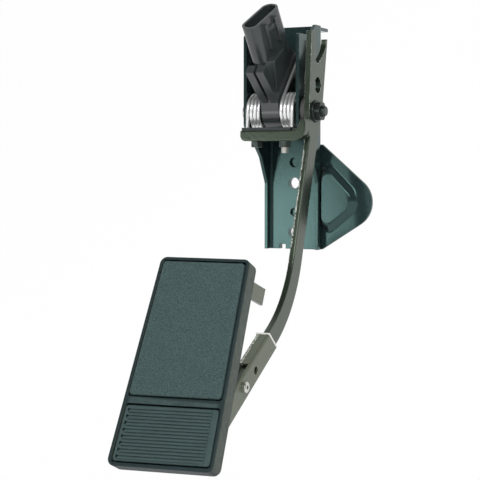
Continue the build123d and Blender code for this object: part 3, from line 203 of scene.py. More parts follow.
class PedalStudio(bpy.types.PropertyGroup):
    """Camera, lamps and backdrop."""

    azimuth: angle_property("Azimuth", "Camera's turn round the pedal", 26)
    pitch: angle_property("Pitch", "Camera's look downward", 3.168)
    lens: FloatProperty(
        name="Lens", description="Focal length for a 36 mm wide sensor", default=101.625, min=1, unit="CAMERA"
    )
    distance: length_property("Distance", "From the camera to the pivot, along the view", 1.01625)
    pivot_right: FloatProperty(
        name="Pivot right",
        description="Pivot's place right of the middle, as a share of the width",
        default=PIVOT_PIXEL[0] / PICTURE_SIZE - 0.5,
    )
    pivot_up: FloatProperty(
        name="Pivot up",
        description="Pivot's place above the middle, as a share of the height",
        default=0.5 - PIVOT_PIXEL[1] / PICTURE_SIZE,
    )
    key_level: FloatProperty(
        name="Key", description="Brightness of the low lamp at the front left", default=4.8, min=0
    )
    key_right: length_property("Key right", "Right edge of the low lamp, left of the middle", 0.46)
    key_top: length_property("Key top", "Top edge of the low lamp", 0.03)
    key_width: length_property("Key width", "Width of the low lamp", 0.9)
    lamps_ahead: length_property("Lamps ahead", "From the bulkhead to the low and the long lamp", 1.25)
    strip_power: power_property("Strip", "Power of the long lamp above the camera", 12.0)
    strip_across: length_property(
        "Strip across", "From the middle of the pedal to the long lamp's middle", 0.5, least=-2.0
    )
    strip_height: length_property("Strip height", "From the fixing holes up to the long lamp", 0.62)
    strip_length: length_property("Strip length", "Length of the long lamp", 1.8)
    strip_width: length_property("Strip width", "Width of the long lamp", 0.32)
    strip_slope: FloatProperty(name="Strip slope", description="Fall of the long lamp's aim", default=0.4)
    fill_power: power_property("Fill", "Power of the high lamp at the front right", 13.0)
    fill_size: length_property("Fill size", "Side of the high lamp", 0.9)
    fill_place: place_property("Fill place", "Middle of the high lamp", (1.0, -1.0, 1.1))
    top_power: power_property("Top", "Power of the lamp overhead", 7.0)
    top_size: length_property("Top size", "Side of the lamp overhead", 1.2)
    top_place: place_property("Top place", "Middle of the lamp overhead", (0.3, 0.3, 1.7))
    back_power: power_property("Back", "Power of the lamp behind, at the left", 12.0)
    back_size: length_property("Back size", "Side of the lamp behind", 0.9)
    back_place: place_property("Back place", "Middle of the lamp behind", (-0.8, 1.0, 0.9))
    world_level: FloatProperty(
        name="World", description="Level of the even light from all round", default=0.16, min=0
    )
    backdrop: colour_property("Backdrop", "Pale floor and wall", (0.86, 0.86, 0.86))
    floor_drop: length_property(
        "Floor drop", "From the pad at rest down to the floor, clear of its travel", 0.06
    )
    floor_ahead: length_property("Floor ahead", "From the bulkhead to the floor's front edge", 3.0)
    wall_behind: length_property("Wall behind", "From the bulkhead back to the wall", 1.6)
    backdrop_width: length_property("Backdrop width", "Width of the floor and the wall", 9.0)
    backdrop_bend: length_property("Backdrop bend", "Radius between the floor and the wall", 0.8)
    backdrop_top: length_property("Backdrop top", "From the fixing holes up to the wall's top", 4.0)


def settings():
    """The settings of the pedal in this scene."""
    return bpy.context.scene.pedal


# Nodes


def set_inputs(tree, node, inputs):
    """Link or set inputs of a node, each by its name or number."""
    for key, value in inputs.items():
        if isinstance(value, bpy.types.NodeSocket):
            tree.links.new(value, node.inputs[key])
        else:
            node.inputs[key].default_value = value


def add_node(tree, kind, inputs=(), **plain):
    """Add a node, set its plain values, and link or set its inputs."""
    node = tree.nodes.new(kind)
    for key, value in plain.items():
        setattr(node, key, value)
    set_inputs(tree, node, dict(inputs))
    return node


def new_finish(name):
    """Node material with its shader and the object's own coordinates."""
    material = bpy.data.materials.new(name)
    material.use_nodes = True
    tree = material.node_tree
    shader = tree.nodes["Principled BSDF"]
    place = add_node(tree, "ShaderNodeTexCoord").outputs["Object"]
    return material, tree, shader, place


def noise(tree, place, scale, detail=3.0, roughness=0.5):
    """Cloudy value from 0 to 1, scale in waves per metre."""
    inputs = {"Vector": place, "Scale": scale, "Detail": detail, "Roughness": roughness}
    return add_node(tree, "ShaderNodeTexNoise", inputs).outputs["Fac"]


def cells(tree, place, scale):
    """Cell pattern, scale in cells per metre: outputs for the distance to a cell's middle and its colour."""
    return add_node(tree, "ShaderNodeTexVoronoi", {"Vector": place, "Scale": scale}).outputs


def spread(tree, value, low, high, start=0.0, end=1.0):
    """Value carried from start..end to low..high, clamped."""
    inputs = {"Value": value, "From Min": start, "From Max": end, "To Min": low, "To Max": high}
    return add_node(tree, "ShaderNodeMapRange", inputs).outputs["Result"]


def maths(tree, operation, first, second=0.0):
    """One arithmetic step on two values."""
    return add_node(tree, "ShaderNodeMath", {0: first, 1: second}, operation=operation).outputs["Value"]


def product(tree, first, second):
    """Two values multiplied, so that two shares hold together."""
    return maths(tree, "MULTIPLY", first, second)


def larger(tree, first, second):
    """The larger of two values, so that either share holds."""
    return maths(tree, "MAXIMUM", first, second)


def near(tree, value, middle, reach):
    """1 where a value lies within a reach of a middle, and 0 elsewhere."""
    inputs = {0: value, 1: middle, 2: reach}
    return add_node(tree, "ShaderNodeMath", inputs, operation="COMPARE").outputs["Value"]


def parts_of(tree, vector):
    """A vector's parts along X, Y and Z."""
    return add_node(tree, "ShaderNodeSeparateXYZ", {0: vector}).outputs


def outward_parts(tree):
    """The outward normal's parts along X, Y and Z."""
    return parts_of(tree, add_node(tree, "ShaderNodeNewGeometry").outputs["True Normal"])


def mix_colours(tree, share, first, second):
    """Colour between two colours, by the colour sockets of the Mix node."""
    node = add_node(tree, "ShaderNodeMix", data_type="RGBA")
    first_input, second_input = (i for i, socket in enumerate(node.inputs) if socket.type == "RGBA")
    set_inputs(tree, node, {0: share, first_input: first, second_input: second})
    return next(socket for socket in node.outputs if socket.type == "RGBA")


def shade(colour, factor=1.0):
    """Colour made lighter or darker, with its alpha."""
    return (*(min(1.0, factor * c) for c in colour), 1.0)


def tones(tree, share, colour, dark, light):
    """Colour that runs from a darker to a lighter tone of itself."""
    return mix_colours(tree, share, shade(colour, dark), shade(colour, light))


def bump(tree, height, distance, normal=None):
    """Normal bent by a height from 0 to 1 times a distance in metres."""
    inputs = {"Height": height, "Distance": distance, "Strength": 1.0}
    if normal is not None:
        inputs["Normal"] = normal
    return add_node(tree, "ShaderNodeBump", inputs).outputs["Normal"]


def rounded(tree, radius):
    """Normal rounded over the edges, and a share that is 1 on an edge and 0 on a flat."""
    soft = add_node(tree, "ShaderNodeBevel", {"Radius": radius}, samples=6).outputs["Normal"]
    flat = add_node(tree, "ShaderNodeNewGeometry").outputs["Normal"]
    facing = add_node(tree, "ShaderNodeVectorMath", {0: soft, 1: flat}, operation="DOT_PRODUCT")
    return soft, spread(tree, facing.outputs["Value"], low=1.0, high=0.0, start=0.80, end=0.99)


def highlit_left_edge(tree):
    """Share that is 1 on edges rounded to the left, where the outward normal lies between left and front: the
    edges that face the low lamp at the front left, where a highlight is painted.
    """
    parts = outward_parts(tree)
    slant = product(tree, parts["X"], parts["Y"])
    front = maths(tree, "LESS_THAN", parts["Y"], 0.0)
    return product(tree, front, spread(tree, slant, low=0.0, high=1.0, start=0.12, end=0.34))


def burr_highlight_line(tree, place, left, width, foot, top, lean=-0.3):
    """Share that is 1 on front faces within a width of a left side, between two heights: a bright burr line,
    painted as a highlight.

    A front face is one whose outward normal has a part along Y below the lean.
    """
    front = maths(tree, "LESS_THAN", outward_parts(tree)["Y"], lean)
    parts = parts_of(tree, place)
    beside = near(tree, parts["X"], left, width)
    within = near(tree, parts["Z"], (foot + top) / 2, (top - foot) / 2)
    return product(tree, product(tree, front, beside), within)


# Finishes


def coat_finish(name, colour, tint, roughness, gloss, peel, edge, edge_share, burr_highlight=None):
    """Paint on pressed steel: cloudy colour, fine orange peel, and edges where the coat is thin, painted
    brighter also as a highlight.

    tint is the colour of what the coat mirrors, gloss its index of refraction, and peel the height of its
    orange peel. edge is the bare steel, and edge_share how much of it shows on an edge, as wear and as a
    painted highlight that is strongest on edges facing left and front. The last argument gives a bright left
    side, a burr
    line painted as a highlight: its place along X, how far it reaches, and the heights between which it
    shows.
    """
    material, tree, shader, place = new_finish(name)
    soft, sharp = rounded(tree, radius=0.7 * MM)
    # Sharp edges show bare steel as wear, and edges facing left and front take it as a painted highlight
    on_edge = larger(tree, sharp, highlit_left_edge(tree))
    # A burr line on the left side, painted as a highlight
    if burr_highlight:
        on_edge = larger(tree, on_edge, burr_highlight_line(tree, place, *burr_highlight))
    cloud = noise(tree, place, scale=60.0)
    speck = noise(tree, place, scale=900.0, detail=2.0)
    body = tones(tree, cloud, colour, dark=0.82, light=1.18)
    # Share of bare steel on edges, flecked: coat wear together with a painted highlight
    wear_and_painted_light = product(tree, on_edge, spread(tree, speck, low=0.0, high=edge_share, start=0.42, end=0.62))
    ripple = noise(tree, place, scale=420.0, detail=2.0)
    looks = {
        "Base Color": mix_colours(tree, wear_and_painted_light, body, shade(edge)),
        "Roughness": spread(tree, cloud, low=0.85 * roughness, high=1.2 * roughness),
        "Normal": bump(tree, ripple, peel, soft),
        "IOR": gloss,
        "Specular Tint": shade(tint),
    }
    set_inputs(tree, shader, looks)
    return material


def plated_finish(name, colour, roughness):
    """Zinc plate: metal with crystalline patches, a fine grain, and edges painted brighter as a highlight."""
    material, tree, shader, place = new_finish(name)
    soft, on_edge = rounded(tree, radius=0.3 * MM)
    patch = cells(tree, place, scale=700.0)["Color"]
    tone = add_node(tree, "ShaderNodeSeparateColor", {0: patch}).outputs[0]
    body = tones(tree, tone, colour, dark=0.86, light=1.1)
    grain = noise(tree, place, scale=2200.0)
    looks = {
        # Edges painted brighter: a painted highlight
        "Base Color": mix_colours(tree, on_edge, body, shade(colour, 1.25)),
        "Roughness": spread(tree, grain, low=0.75 * roughness, high=1.3 * roughness),
        "Normal": bump(tree, grain, 0.03 * MM, soft),
        "Metallic": 1.0,
    }
    set_inputs(tree, shader, looks)
    return material


def moulded_finish(name, colour, roughness, grain_scale, grain_depth, gloss=1.5):
    """Moulded plastic: slight clouding, the fine spark-eroded grain of the mould, and edges painted paler as
    a highlight.

    gloss is the plastic's index of refraction.
    """
    material, tree, shader, place = new_finish(name)
    soft, on_edge = rounded(tree, radius=0.5 * MM)
    cloud = noise(tree, place, scale=80.0)
    body = tones(tree, cloud, colour, dark=0.85, light=1.2)
    grain = noise(tree, place, grain_scale, detail=4.0, roughness=0.6)
    looks = {
        # Edges painted paler: a painted highlight
        "Base Color": mix_colours(tree, on_edge, body, shade(colour, 1.7)),
        "Roughness": spread(tree, cloud, low=0.9 * roughness, high=1.15 * roughness),
        "Normal": bump(tree, grain, grain_depth, soft),
        "IOR": gloss,
    }
    set_inputs(tree, shader, looks)
    return material


def wire_finish(name, colour):
    """Plated spring wire: lines drawn along the wire, read from its own map."""
    material, tree, shader, _ = new_finish(name)
    along = add_node(tree, "ShaderNodeUVMap").outputs["UV"]
    stretched = add_node(tree, "ShaderNodeMapping", {"Vector": along, "Scale": (30.0, 40.0, 1.0)})
    line = noise(tree, stretched.outputs["Vector"], scale=1.0, detail=4.0)
    looks = {
        "Base Color": tones(tree, line, colour, dark=0.8, light=1.12),
        "Roughness": spread(tree, line, low=0.28, high=0.4),
        "Normal": bump(tree, line, 0.02 * MM),
        "Metallic": 0.9,
    }
    set_inputs(tree, shader, looks)
    return material


def tread_finish(name, colour, gloss):
    """Tread rubber: leather grain of cells and noise over slow clouding, with painted shade in the grain's
    hollows, painted highlight on its tops, and a paler edge as a painted highlight.

    gloss is the rubber's index of refraction.
    """
    material, tree, shader, place = new_finish(name)
    soft, on_edge = rounded(tree, radius=0.6 * MM)
    fine = noise(tree, place, scale=2200.0)
    grain = maths(tree, "ADD", cells(tree, place, scale=1100.0)["Distance"], fine)
    body = tones(tree, noise(tree, place, scale=45.0), colour, dark=0.88, light=1.12)
    raised = spread(tree, grain, low=0.0, high=1.0, start=0.55, end=1.15)
    # Grain tone follows its height: darker in the hollows as painted shade, paler on the tops as painted
    # highlight
    grain_with_painted_shade = tones(tree, raised, colour, dark=0.4, light=1.5)
    cloud_share = 0.25
    looks = {
        # Edges painted paler: a painted highlight
        "Base Color": mix_colours(
            tree, on_edge, mix_colours(tree, cloud_share, grain_with_painted_shade, body), shade(colour, 1.9)
        ),
        "Roughness": spread(tree, fine, low=0.6, high=0.8),
        "Normal": bump(tree, grain, 0.3 * MM, soft),
        "IOR": gloss,
    }
    set_inputs(tree, shader, looks)
    return material


def tray_finish(name, colour, rubbed, painted_side_light):
    """Moulded tray: plain moulded plastic, rubbed by shoes along the cross ridge, and lightened on its sides
    as painted light.

    The rubbed share is 1 within the gap between the panels' boxes, in height and across, and 0 on the rim.
    The share of painted light on the sides rises from 0 to 1 as a face turns to the left or right.
    """
    material = moulded_finish(
        name, colour, roughness=0.5, grain_scale=1800.0, grain_depth=0.04 * MM, gloss=1.32
    )
    tree = material.node_tree
    shader = tree.nodes["Principled BSDF"]
    low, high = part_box("ribbed_panel")[1].z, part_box("tread_panel")[0].z
    left, right = (corner.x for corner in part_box("tread_panel"))
    gap, width = high - low, right - left
    place = add_node(tree, "ShaderNodeTexCoord").outputs["Object"]
    parts = parts_of(tree, place)
    height = maths(tree, "ABSOLUTE", maths(tree, "SUBTRACT", parts["Z"], (low + high) / 2))
    across = maths(tree, "ABSOLUTE", maths(tree, "SUBTRACT", parts["X"], (left + right) / 2))
    on_ridge = product(
        tree,
        spread(tree, height, low=1.0, high=0.0, start=0.4 * gap, end=0.7 * gap),
        spread(tree, across, low=1.0, high=0.0, start=0.46 * width, end=0.5 * width),
    )
    sideways = maths(tree, "ABSOLUTE", outward_parts(tree)["X"])
    on_side = spread(tree, sideways, low=0.0, high=1.0, start=0.5, end=0.9)
    streak = spread(tree, noise(tree, place, scale=250.0), low=0.6, high=1.0, start=0.35, end=0.65)
    plain = shader.inputs["Base Color"].links[0].from_socket
    # Faces turned left or right are lightened: painted light
    wear_and_painted_light = mix_colours(tree, product(tree, on_side, streak), plain, shade(painted_side_light))
    wear_and_painted_light = mix_colours(tree, product(tree, on_ridge, streak), wear_and_painted_light, shade(rubbed))
    set_inputs(tree, shader, {"Base Color": wear_and_painted_light})
    return material


def dress(material, *nodes):
    """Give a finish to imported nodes."""
    for node in nodes:
        mesh = frame["nodes"][node].data
        mesh.materials.clear()
        mesh.materials.append(material)


# Surfaces


def grid_mesh(name, points, along, material):
    """Closed tube as a mesh: rings of points joined by quads, with a flat face on each end.

    points has the shape (rings, sides, 3). The map's u is the distance along and v the share of the way
    round.
    """
    rings, sides, _ = points.shape
    ring, side = np.meshgrid(np.arange(rings - 1), np.arange(sides), indexing="ij")
    this, following = ring * sides, (ring + 1) * sides
    after = (side + 1) % sides
    quads = np.stack([this + side, this + after, following + after, following + side], -1).reshape(-1, 4)
    first = np.arange(sides)[::-1]
    last = (rings - 1) * sides + np.arange(sides)
    mesh = bpy.data.meshes.new(name)
    mesh.from_pydata(points.reshape(-1, 3), [], [*quads.tolist(), first.tolist(), last.tolist()])
    u = np.stack([along[ring], along[ring], along[ring + 1], along[ring + 1]], -1)
    v = np.stack([side, side + 1, side + 1, side], -1) / sides
    ends = np.zeros((2 * sides, 2))
    wrapped = np.concatenate([np.stack([u, v], -1).reshape(-1, 2), ends])
    mesh.uv_layers.new(name="UVMap").data.foreach_set("uv", wrapped.astype(np.float32).ravel())
    mesh.polygons.foreach_set("use_smooth", np.append(np.ones(len(quads), bool), [False, False]))
    mesh.materials.append(material)
    mesh.update()
    piece = bpy.data.objects.new(name, mesh)
    bpy.context.scene.collection.objects.link(piece)
    return piece


def spring_line(springs):
    """Middle line of the right spring: straight leg, helix round the shaft, straight leg.

    The helix turns about the pivot axis while it moves out along X at an even pitch. The fixed leg leaves
    its inner end along the tangent, up and back to the web; the moving leg leaves its outer end straight
    down.
    """
    start = math.pi - springs.leg_angle
    turns = springs.whole_turns + springs.leg_angle / FULL_TURN
    angle = start + np.linspace(0, FULL_TURN * turns, springs.turn_steps * (springs.whole_turns + 1))
    outward = springs.inner_x + springs.pitch * (angle - start) / FULL_TURN
    back = PIVOT[1] + springs.coil_radius * np.cos(angle)
    height = PIVOT[2] + springs.coil_radius * np.sin(angle)
    coil = np.stack([outward, back, height], -1)
    low, high = (np.array(corner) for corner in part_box("right_spring"))
    up = np.array([0, math.sin(start), -math.cos(start)])
    fixed_length = (high[1] - springs.wire_radius * abs(up[2]) - coil[0, 1]) / up[1]
    moving_length = coil[-1, 2] - low[2]
    share = np.linspace(0, 1, springs.leg_steps)[:, None]
    fixed = coil[0] + up * fixed_length * (1 - share)
    moving = coil[-1] - np.array([0, 0, moving_length]) * share
    return np.concatenate([fixed[:-1], coil, moving[1:]])


def wire_tube(line, radius, sides, end_share=0.7):
    """Round tube along a line: a circle square to the line, turned from the X direction.

    The first and the last circle have a share of the radius, which takes the sharp edge off the cut ends.
    """
    tangent = np.gradient(line, axis=0)
    tangent /= np.linalg.norm(tangent, axis=1, keepdims=True)
    across = np.array([1.0, 0, 0]) - tangent * tangent[:, :1]
    across /= np.linalg.norm(across, axis=1, keepdims=True)
    other = np.cross(tangent, across)
    size = np.full(len(line), radius)
    size[[0, -1]] = end_share * radius
    turn = np.linspace(0, FULL_TURN, sides, endpoint=False)
    ring = across[:, None] * np.cos(turn)[None, :, None] + other[:, None] * np.sin(turn)[None, :, None]
    return line[:, None] + ring * size[:, None, None]


def thread_tube(radius, depth, pitch, length, sides=40, steps=10, nose=1.6):
    """Screw thread along +X from the origin: the radius falls from crest to root once in each turn and pitch.

    The radius is the crest less the depth times a triangle wave of the distance in pitches less the turn.
    Over the last pitch it runs down to a plain nose, which lies a number of depths below the crest. steps is
    the number of rings in each pitch.
    """
    distance = np.linspace(0, length, int(steps * length / pitch))
    turn = np.linspace(0, FULL_TURN, sides, endpoint=False)
    phase = (distance[:, None] / pitch - turn[None, :] / FULL_TURN) % 1.0
    wave = np.abs(2 * phase - 1)
    lead_in = np.clip((distance - (length - pitch)) / pitch, 0, 1)[:, None]
    size = radius - depth * wave * (1 - lead_in) - nose * depth * lead_in
    along = np.broadcast_to(distance[:, None], size.shape)
    return np.stack([along, size * np.cos(turn), size * np.sin(turn)], -1), distance


# Pieces


class PEDAL_OT_coat_bracket(bpy.types.Operator):
    """Gloss coat on the channel bracket and the stamped wing"""

    bl_idname = "pedal.coat_bracket"
    bl_label = "Coat Bracket"

    def execute(self, context):
        finishes = settings().finishes
        # The bracket's edges show a little bare steel, as wear and as a painted highlight
        coat = coat_finish(
            "gloss_bracket_coat",
            finishes.bracket_coat,
            finishes.bracket_tint,
            roughness=0.17,
            gloss=1.65,
            peel=0.02 * MM,
            edge=finishes.bare_edge_and_highlight,
            edge_share=0.10,
        )
        dress(coat, "mounting_bracket", "wing_plate")
        return {"FINISHED"}


class PEDAL_OT_coat_lever(bpy.types.Operator):
    """Satin coat on the lever, the pad bracket and the pad's plate"""

    bl_idname = "pedal.coat_lever"
    bl_label = "Coat Lever"

    def execute(self, context):
        finishes = settings().finishes
        satin = {"roughness": 0.24, "gloss": 1.72, "peel": 0.08 * MM, "edge": finishes.bare_edge_and_highlight}
        coat = coat_finish(
            "satin_lever_coat",
            finishes.lever_coat,
            finishes.lever_tint,
            edge_share=1.0,
            # The arm's left side carries a burr line painted as a highlight
            burr_highlight=(finishes.arm_left, finishes.burr_highlight_width, finishes.burr_highlight_foot, finishes.burr_highlight_top),
            **satin,
        )
        dress(coat, "lever")
        low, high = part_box("pad_bracket")
        wear_and_painted_light = coat_finish(
            "worn_highlit_lever_coat",
            finishes.pad_bracket_coat,
            finishes.lever_tint,
            edge_share=0.8,
            # The pad bracket's left edge carries the same painted highlight over its wear
            burr_highlight=(low.x, finishes.bracket_wear_highlight, low.z, high.z),
            **satin,
        )
        dress(wear_and_painted_light, "pad_bracket", "pad_plate")
        return {"FINISHED"}


class PEDAL_OT_mould_sensor(bpy.types.Operator):
    """Plastic of the sensor and the bushes, rubber of the buffer strip and plating of the terminals"""

    bl_idname = "pedal.mould_sensor"
    bl_label = "Mould Sensor"

    def execute(self, context):
        finishes = settings().finishes
        black = moulded_finish(
            "sensor_black",
            finishes.sensor,
            roughness=0.24,
            grain_scale=2600.0,
            grain_depth=0.04 * MM,
            gloss=1.62,
        )
        dress(black, "sensor_housing", "sensor_lid", "sensor_rotor")
        bearing = moulded_finish(
            "bearing_plastic", finishes.bush, roughness=0.5, grain_scale=1800.0, grain_depth=0.03 * MM
        )
        dress(bearing, "left_bush", "right_bush", "thrust_washer")
        rubber = moulded_finish(
            "buffer_rubber", finishes.sensor, roughness=0.7, grain_scale=1500.0, grain_depth=0.08 * MM
        )
        dress(rubber, "buffer_strip")
        dress(plated_finish("tinned_terminal", finishes.zinc, roughness=0.3), "connector_terminals")
        return {"FINISHED"}


class PEDAL_OT_plate_fasteners(bpy.types.Operator):
    """Zinc plate on the shaft, screws, studs, nuts and washers"""

    bl_idname = "pedal.plate_fasteners"
    bl_label = "Plate Fasteners"

    def execute(self, context):
        finishes = settings().finishes
        bright = plated_finish("bright_zinc", finishes.zinc, roughness=0.34)
        dress(bright, "shaft_clip", "sensor_screws", "stop_studs", "pad_pin")
        dull = plated_finish("dark_zinc", finishes.dark_zinc, roughness=0.42)
        dress(dull, "pivot_shaft", "pivot_washer", "pivot_nut", "stop_nuts", "pad_screws")
        return {"FINISHED"}


class PEDAL_OT_wind_springs(bpy.types.Operator):
    """Two torsion springs in smooth wire, which twist between the bracket and the pedal"""

    bl_idname = "pedal.wind_springs"
    bl_label = "Wind Springs"

    def execute(self, context):
        springs = settings().springs
        wire = wire_finish("spring_wire", settings().finishes.wire)
        line = spring_line(springs)
        along = np.concatenate([[0], np.cumsum(np.linalg.norm(np.diff(line, axis=0), axis=1))])
        tube = wire_tube(line, springs.wire_radius, springs.sides)
        for node, side in (("right_spring", 1), ("left_spring", -1)):
            # The left spring is the right one mirrored, with its rings run the other way to face outwards
            points = tube * np.array([side, 1, 1])
            piece = grid_mesh(node + "_wire", points[:, ::side], along, wire)
            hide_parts(node)
            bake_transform(piece)
        return {"FINISHED"}


class PEDAL_OT_cut_threads(bpy.types.Operator):
    """Screw threads on the free ends of the pivot stud and the longer stop stud"""

    bl_idname = "pedal.cut_threads"
    bl_label = "Cut Threads"

    def execute(self, context):
        threads, finishes = settings().threads, settings().finishes
        bright = plated_finish("bright_thread", finishes.zinc, roughness=0.3)
        dull = plated_finish("dark_thread", finishes.dark_zinc, roughness=0.36)
        nut_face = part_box("pivot_nut")[1].x
        stud_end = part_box("pivot_shaft")[1].x
        points, along = thread_tube(
            threads.pivot_radius + threads.stand,
            threads.depth,
            threads.pivot_pitch,
            stud_end - nut_face + threads.stand,
        )
        foot = np.array([nut_face, PIVOT[1], PIVOT[2]])
        pivot_thread = grid_mesh("pivot_stud_thread", points + foot, along, dull)
        low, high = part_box("stop_studs")
        nut_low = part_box("stop_nuts")[0].z
        points, along = thread_tube(
            threads.stop_radius + threads.stand,
            threads.depth,
            threads.stop_pitch,
            nut_low - low.z + threads.stand,
        )
        foot = np.array([high.x - threads.stop_radius, (low.y + high.y) / 2, nut_low])
        # Turned from +X to point down, with its rings run the other way to face outwards
        down = np.stack([points[..., 1], points[..., 2], -points[..., 0]], -1)
        stop_thread = grid_mesh("stop_stud_thread", (down + foot)[:, ::-1], along, bright)
        for piece, slot in ((pivot_thread, "dark_zinc"), (stop_thread, "zinc_steel")):
            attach(piece, "pedal")
        return {"FINISHED"}


class PEDAL_OT_mould_pad(bpy.types.Operator):
    """Rubber tread and moulded tray of the foot pad, and the liner in its bracket"""

    bl_idname = "pedal.mould_pad"
    bl_label = "Mould Pad"

    def execute(self, context):
        finishes = settings().finishes
        rubber_gloss = 1.28
        dress(tread_finish("tread_rubber", finishes.tread, rubber_gloss), "tread_panel")
        ribs = moulded_finish(
            "rib_rubber",
            finishes.tread,
            roughness=0.55,
            grain_scale=1500.0,
            grain_depth=0.05 * MM,
            gloss=rubber_gloss,
        )
        dress(ribs, "ribbed_panel")
        dress(tray_finish("tray_plastic", finishes.shell, finishes.tread, finishes.painted_side_light), "pad_shell")
        liner = moulded_finish(
            "liner_plastic", finishes.liner, roughness=0.5, grain_scale=1800.0, grain_depth=0.03 * MM
        )
        dress(liner, "bracket_liner")
        return {"FINISHED"}


# Studio


def backdrop_sheet(floor, ahead, wall, width, bend, top, bend_steps=24, columns=3):
    """Floor that turns up into a wall: a profile of run, quarter circle and rise, carried across in X."""
    turn = np.linspace(0, math.pi / 2, bend_steps)
    run = np.array([[-ahead, floor], [-ahead / 3, floor]])
    curve = np.stack([wall - bend + bend * np.sin(turn), floor + bend - bend * np.cos(turn)], -1)
    profile = np.concatenate([run, curve, [[wall, top]]])
    rows = len(profile)
    across = np.broadcast_to(np.linspace(-width / 2, width / 2, columns), (rows, columns))
    depth, height = (np.broadcast_to(profile[:, i : i + 1], (rows, columns)) for i in range(2))
    points = np.stack([across, depth, height], -1)
    row, column = np.meshgrid(np.arange(rows - 1), np.arange(columns - 1), indexing="ij")
    corner = row * columns + column
    above = corner + columns
    quads = np.stack([corner, corner + 1, above + 1, above], -1).reshape(-1, 4)
    mesh = bpy.data.meshes.new("backdrop")
    mesh.from_pydata(points.reshape(-1, 3), [], quads.tolist())
    mesh.polygons.foreach_set("use_smooth", np.ones(len(quads), bool))
    sheet = bpy.data.objects.new("backdrop", mesh)
    bpy.context.scene.collection.objects.link(sheet)
    return sheet


def backdrop_finish(colour, white_share=0.98):
    """Pale card that the camera and reflections see as white, but for a share that keeps the shadow."""
    material, tree, shader, place = new_finish("backdrop_card")
    fibre = noise(tree, place, scale=8.0)
    card = tones(tree, fibre, colour, dark=0.99, light=1.01)
    set_inputs(tree, shader, {"Base Color": card, "Roughness": 0.9})
    path = add_node(tree, "ShaderNodeLightPath").outputs
    seen = larger(tree, path["Is Camera Ray"], path["Is Glossy Ray"])
    seen = larger(tree, seen, path["Is Transmission Ray"])
    white = add_node(tree, "ShaderNodeEmission", {"Color": (1, 1, 1, 1), "Strength": 1.0})
    layers = {0: product(tree, seen, white_share), 1: shader.outputs["BSDF"], 2: white.outputs["Emission"]}
    blend = add_node(tree, "ShaderNodeMixShader", layers)
    tree.links.new(blend.outputs["Shader"], tree.nodes["Material Output"].inputs["Surface"])
    return material


def studio_world(level):
    """Even light from all round, white where it is seen.

    The camera and clear pieces see white. Glossy pieces see white behind the pedal, and the dim front of the
    room, at the level of the even light, before it. All else is lit at that level.
    """
    world = bpy.data.worlds.new("studio_world")
    world.use_nodes = True
    tree = world.node_tree
    path = add_node(tree, "ShaderNodeLightPath").outputs
    direction = add_node(tree, "ShaderNodeTexCoord").outputs["Generated"]
    behind = spread(tree, parts_of(tree, direction)["Y"], low=0.0, high=1.0, start=0.0, end=0.5)
    seen = larger(tree, path["Is Camera Ray"], path["Is Transmission Ray"])
    seen = larger(tree, seen, product(tree, path["Is Glossy Ray"], behind))
    light = {"Color": (1, 1, 1, 1), "Strength": spread(tree, seen, low=level, high=1.0)}
    set_inputs(tree, tree.nodes["Background"], light)
    return world


def area_lamp(name, power, width, height, place, target, mirrored=True):
    """Soft rectangular lamp at a place, facing a target, seen in glossy surfaces or not."""
    lamp = bpy.data.lights.new(name, "AREA")
    lamp.energy = power
    lamp.shape = "RECTANGLE"
    lamp.size, lamp.size_y = width, height
    holder = bpy.data.objects.new(name, lamp)
    holder.location = place
    holder.rotation_euler = (Vector(target) - Vector(place)).to_track_quat("-Z", "Y").to_euler()
    holder.visible_glossy = mirrored
    holder.visible_camera = False
    bpy.context.scene.collection.objects.link(holder)


def set_lamps(studio, low, centre):
    """Two lamps that the coats and springs mirror, and three that only light the pedal.

    The low lamp reaches from the pedal's lowest point to its own top edge, and its power keeps its
    brightness whatever its size.
    """
    key_height = studio.key_top - low.z
    key_power = studio.key_level * math.pi * studio.key_width * key_height
    key_middle = (studio.key_top + low.z) / 2
    key_place = Vector((-studio.key_right - studio.key_width / 2, -studio.lamps_ahead, key_middle))
    area_lamp("key_lamp", key_power, studio.key_width, key_height, key_place, key_place + Vector((0, 1, 0)))
    strip_place = Vector((studio.strip_across, -studio.lamps_ahead, studio.strip_height))
    strip_aim = strip_place + Vector((0, 1, -studio.strip_slope))
    strip_size = studio.strip_length, studio.strip_width
    area_lamp("strip_lamp", studio.strip_power, *strip_size, strip_place, strip_aim)
    for name, power, size, place in (
        ("fill_lamp", studio.fill_power, studio.fill_size, studio.fill_place),
        ("top_lamp", studio.top_power, studio.top_size, studio.top_place),
        ("back_lamp", studio.back_power, studio.back_size, studio.back_place),
    ):
        area_lamp(name, power, size, size, place, centre, mirrored=False)


def set_camera(scene, studio):
    """Camera that looks along the azimuth and the pitch, and has the pivot at its place in the picture."""
    camera = bpy.data.cameras.new("camera")
    camera.lens = studio.lens
    holder = bpy.data.objects.new("camera", camera)
    scene.collection.objects.link(holder)
    turn, dip = studio.azimuth, studio.pitch
    right = Vector((math.cos(turn), math.sin(turn), 0))
    ahead = Vector((-math.sin(turn) * math.cos(dip), math.cos(turn) * math.cos(dip), -math.sin(dip)))
    up = right.cross(ahead)
    view_width = studio.distance * camera.sensor_width / camera.lens
    eye = Vector(PIVOT) - studio.distance * ahead
    eye -= (studio.pivot_right * right + studio.pivot_up * up) * view_width
    holder.matrix_world = Matrix.Translation(eye) @ Matrix((right, up, -ahead)).transposed().to_4x4()
    scene.camera = holder


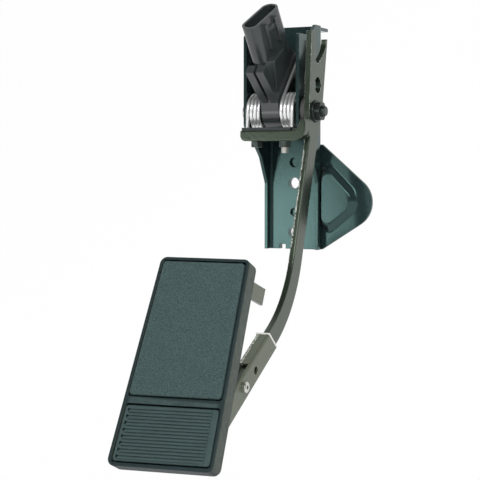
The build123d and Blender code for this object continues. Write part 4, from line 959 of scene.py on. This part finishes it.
class PEDAL_OT_set_studio(bpy.types.Operator):
    """Backdrop, lamps, world and camera at the picture's angle"""

    bl_idname = "pedal.set_studio"
    bl_label = "Set Studio"

    def execute(self, context):
        studio = settings().studio
        low, high = CAD_BOX
        sheet = backdrop_sheet(
            low.z - studio.floor_drop,
            studio.floor_ahead,
            studio.wall_behind,
            studio.backdrop_width,
            studio.backdrop_bend,
            studio.backdrop_top,
        )
        sheet.data.materials.append(backdrop_finish(studio.backdrop))
        set_lamps(studio, low, (low + high) / 2)
        context.scene.world = studio_world(studio.world_level)
        context.scene.view_settings.view_transform = "Standard"
        set_camera(context.scene, studio)
        return {"FINISHED"}


class PEDAL_PT_looks(bpy.types.Panel):
    """Sidebar panel with the pedal's settings and steps"""

    bl_idname = "PEDAL_PT_looks"
    bl_label = "Accelerator Pedal"
    bl_space_type = "VIEW_3D"
    bl_region_type = "UI"
    bl_category = "Pedal"

    def draw(self, context):
        for operator in OPERATORS:
            self.layout.operator(operator.bl_idname)
        pedal = context.scene.pedal
        for group in (pedal.finishes, pedal.springs, pedal.threads, pedal.studio):
            box = self.layout.box()
            for name in group.__annotations__:
                box.prop(group, name)


class PedalSettings(bpy.types.PropertyGroup):
    """All settings of the pedal"""

    finishes: PointerProperty(type=PedalFinishes)
    springs: PointerProperty(type=PedalSprings)
    threads: PointerProperty(type=PedalThreads)
    studio: PointerProperty(type=PedalStudio)


OPERATORS = (
    PEDAL_OT_coat_bracket,
    PEDAL_OT_coat_lever,
    PEDAL_OT_mould_sensor,
    PEDAL_OT_plate_fasteners,
    PEDAL_OT_wind_springs,
    PEDAL_OT_cut_threads,
    PEDAL_OT_mould_pad,
    PEDAL_OT_set_studio,
)
CLASSES = (
    PedalFinishes,
    PedalSprings,
    PedalThreads,
    PedalStudio,
    PedalSettings,
    *OPERATORS,
    PEDAL_PT_looks,
)


def register():
    """Add the classes and the scene's settings."""
    for item in CLASSES:
        bpy.utils.register_class(item)
    bpy.types.Scene.pedal = PointerProperty(type=PedalSettings)


def unregister():
    """Take the classes and the scene's settings away."""
    del bpy.types.Scene.pedal
    for item in reversed(CLASSES):
        bpy.utils.unregister_class(item)


def main():
    """Register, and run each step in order."""
    register()
    bpy.ops.pedal.coat_bracket()
    bpy.ops.pedal.coat_lever()
    bpy.ops.pedal.mould_sensor()
    bpy.ops.pedal.plate_fasteners()
    bpy.ops.pedal.wind_springs()
    bpy.ops.pedal.cut_threads()
    bpy.ops.pedal.mould_pad()
    bpy.ops.pedal.set_studio()


if __name__ == "__main__":
    main()
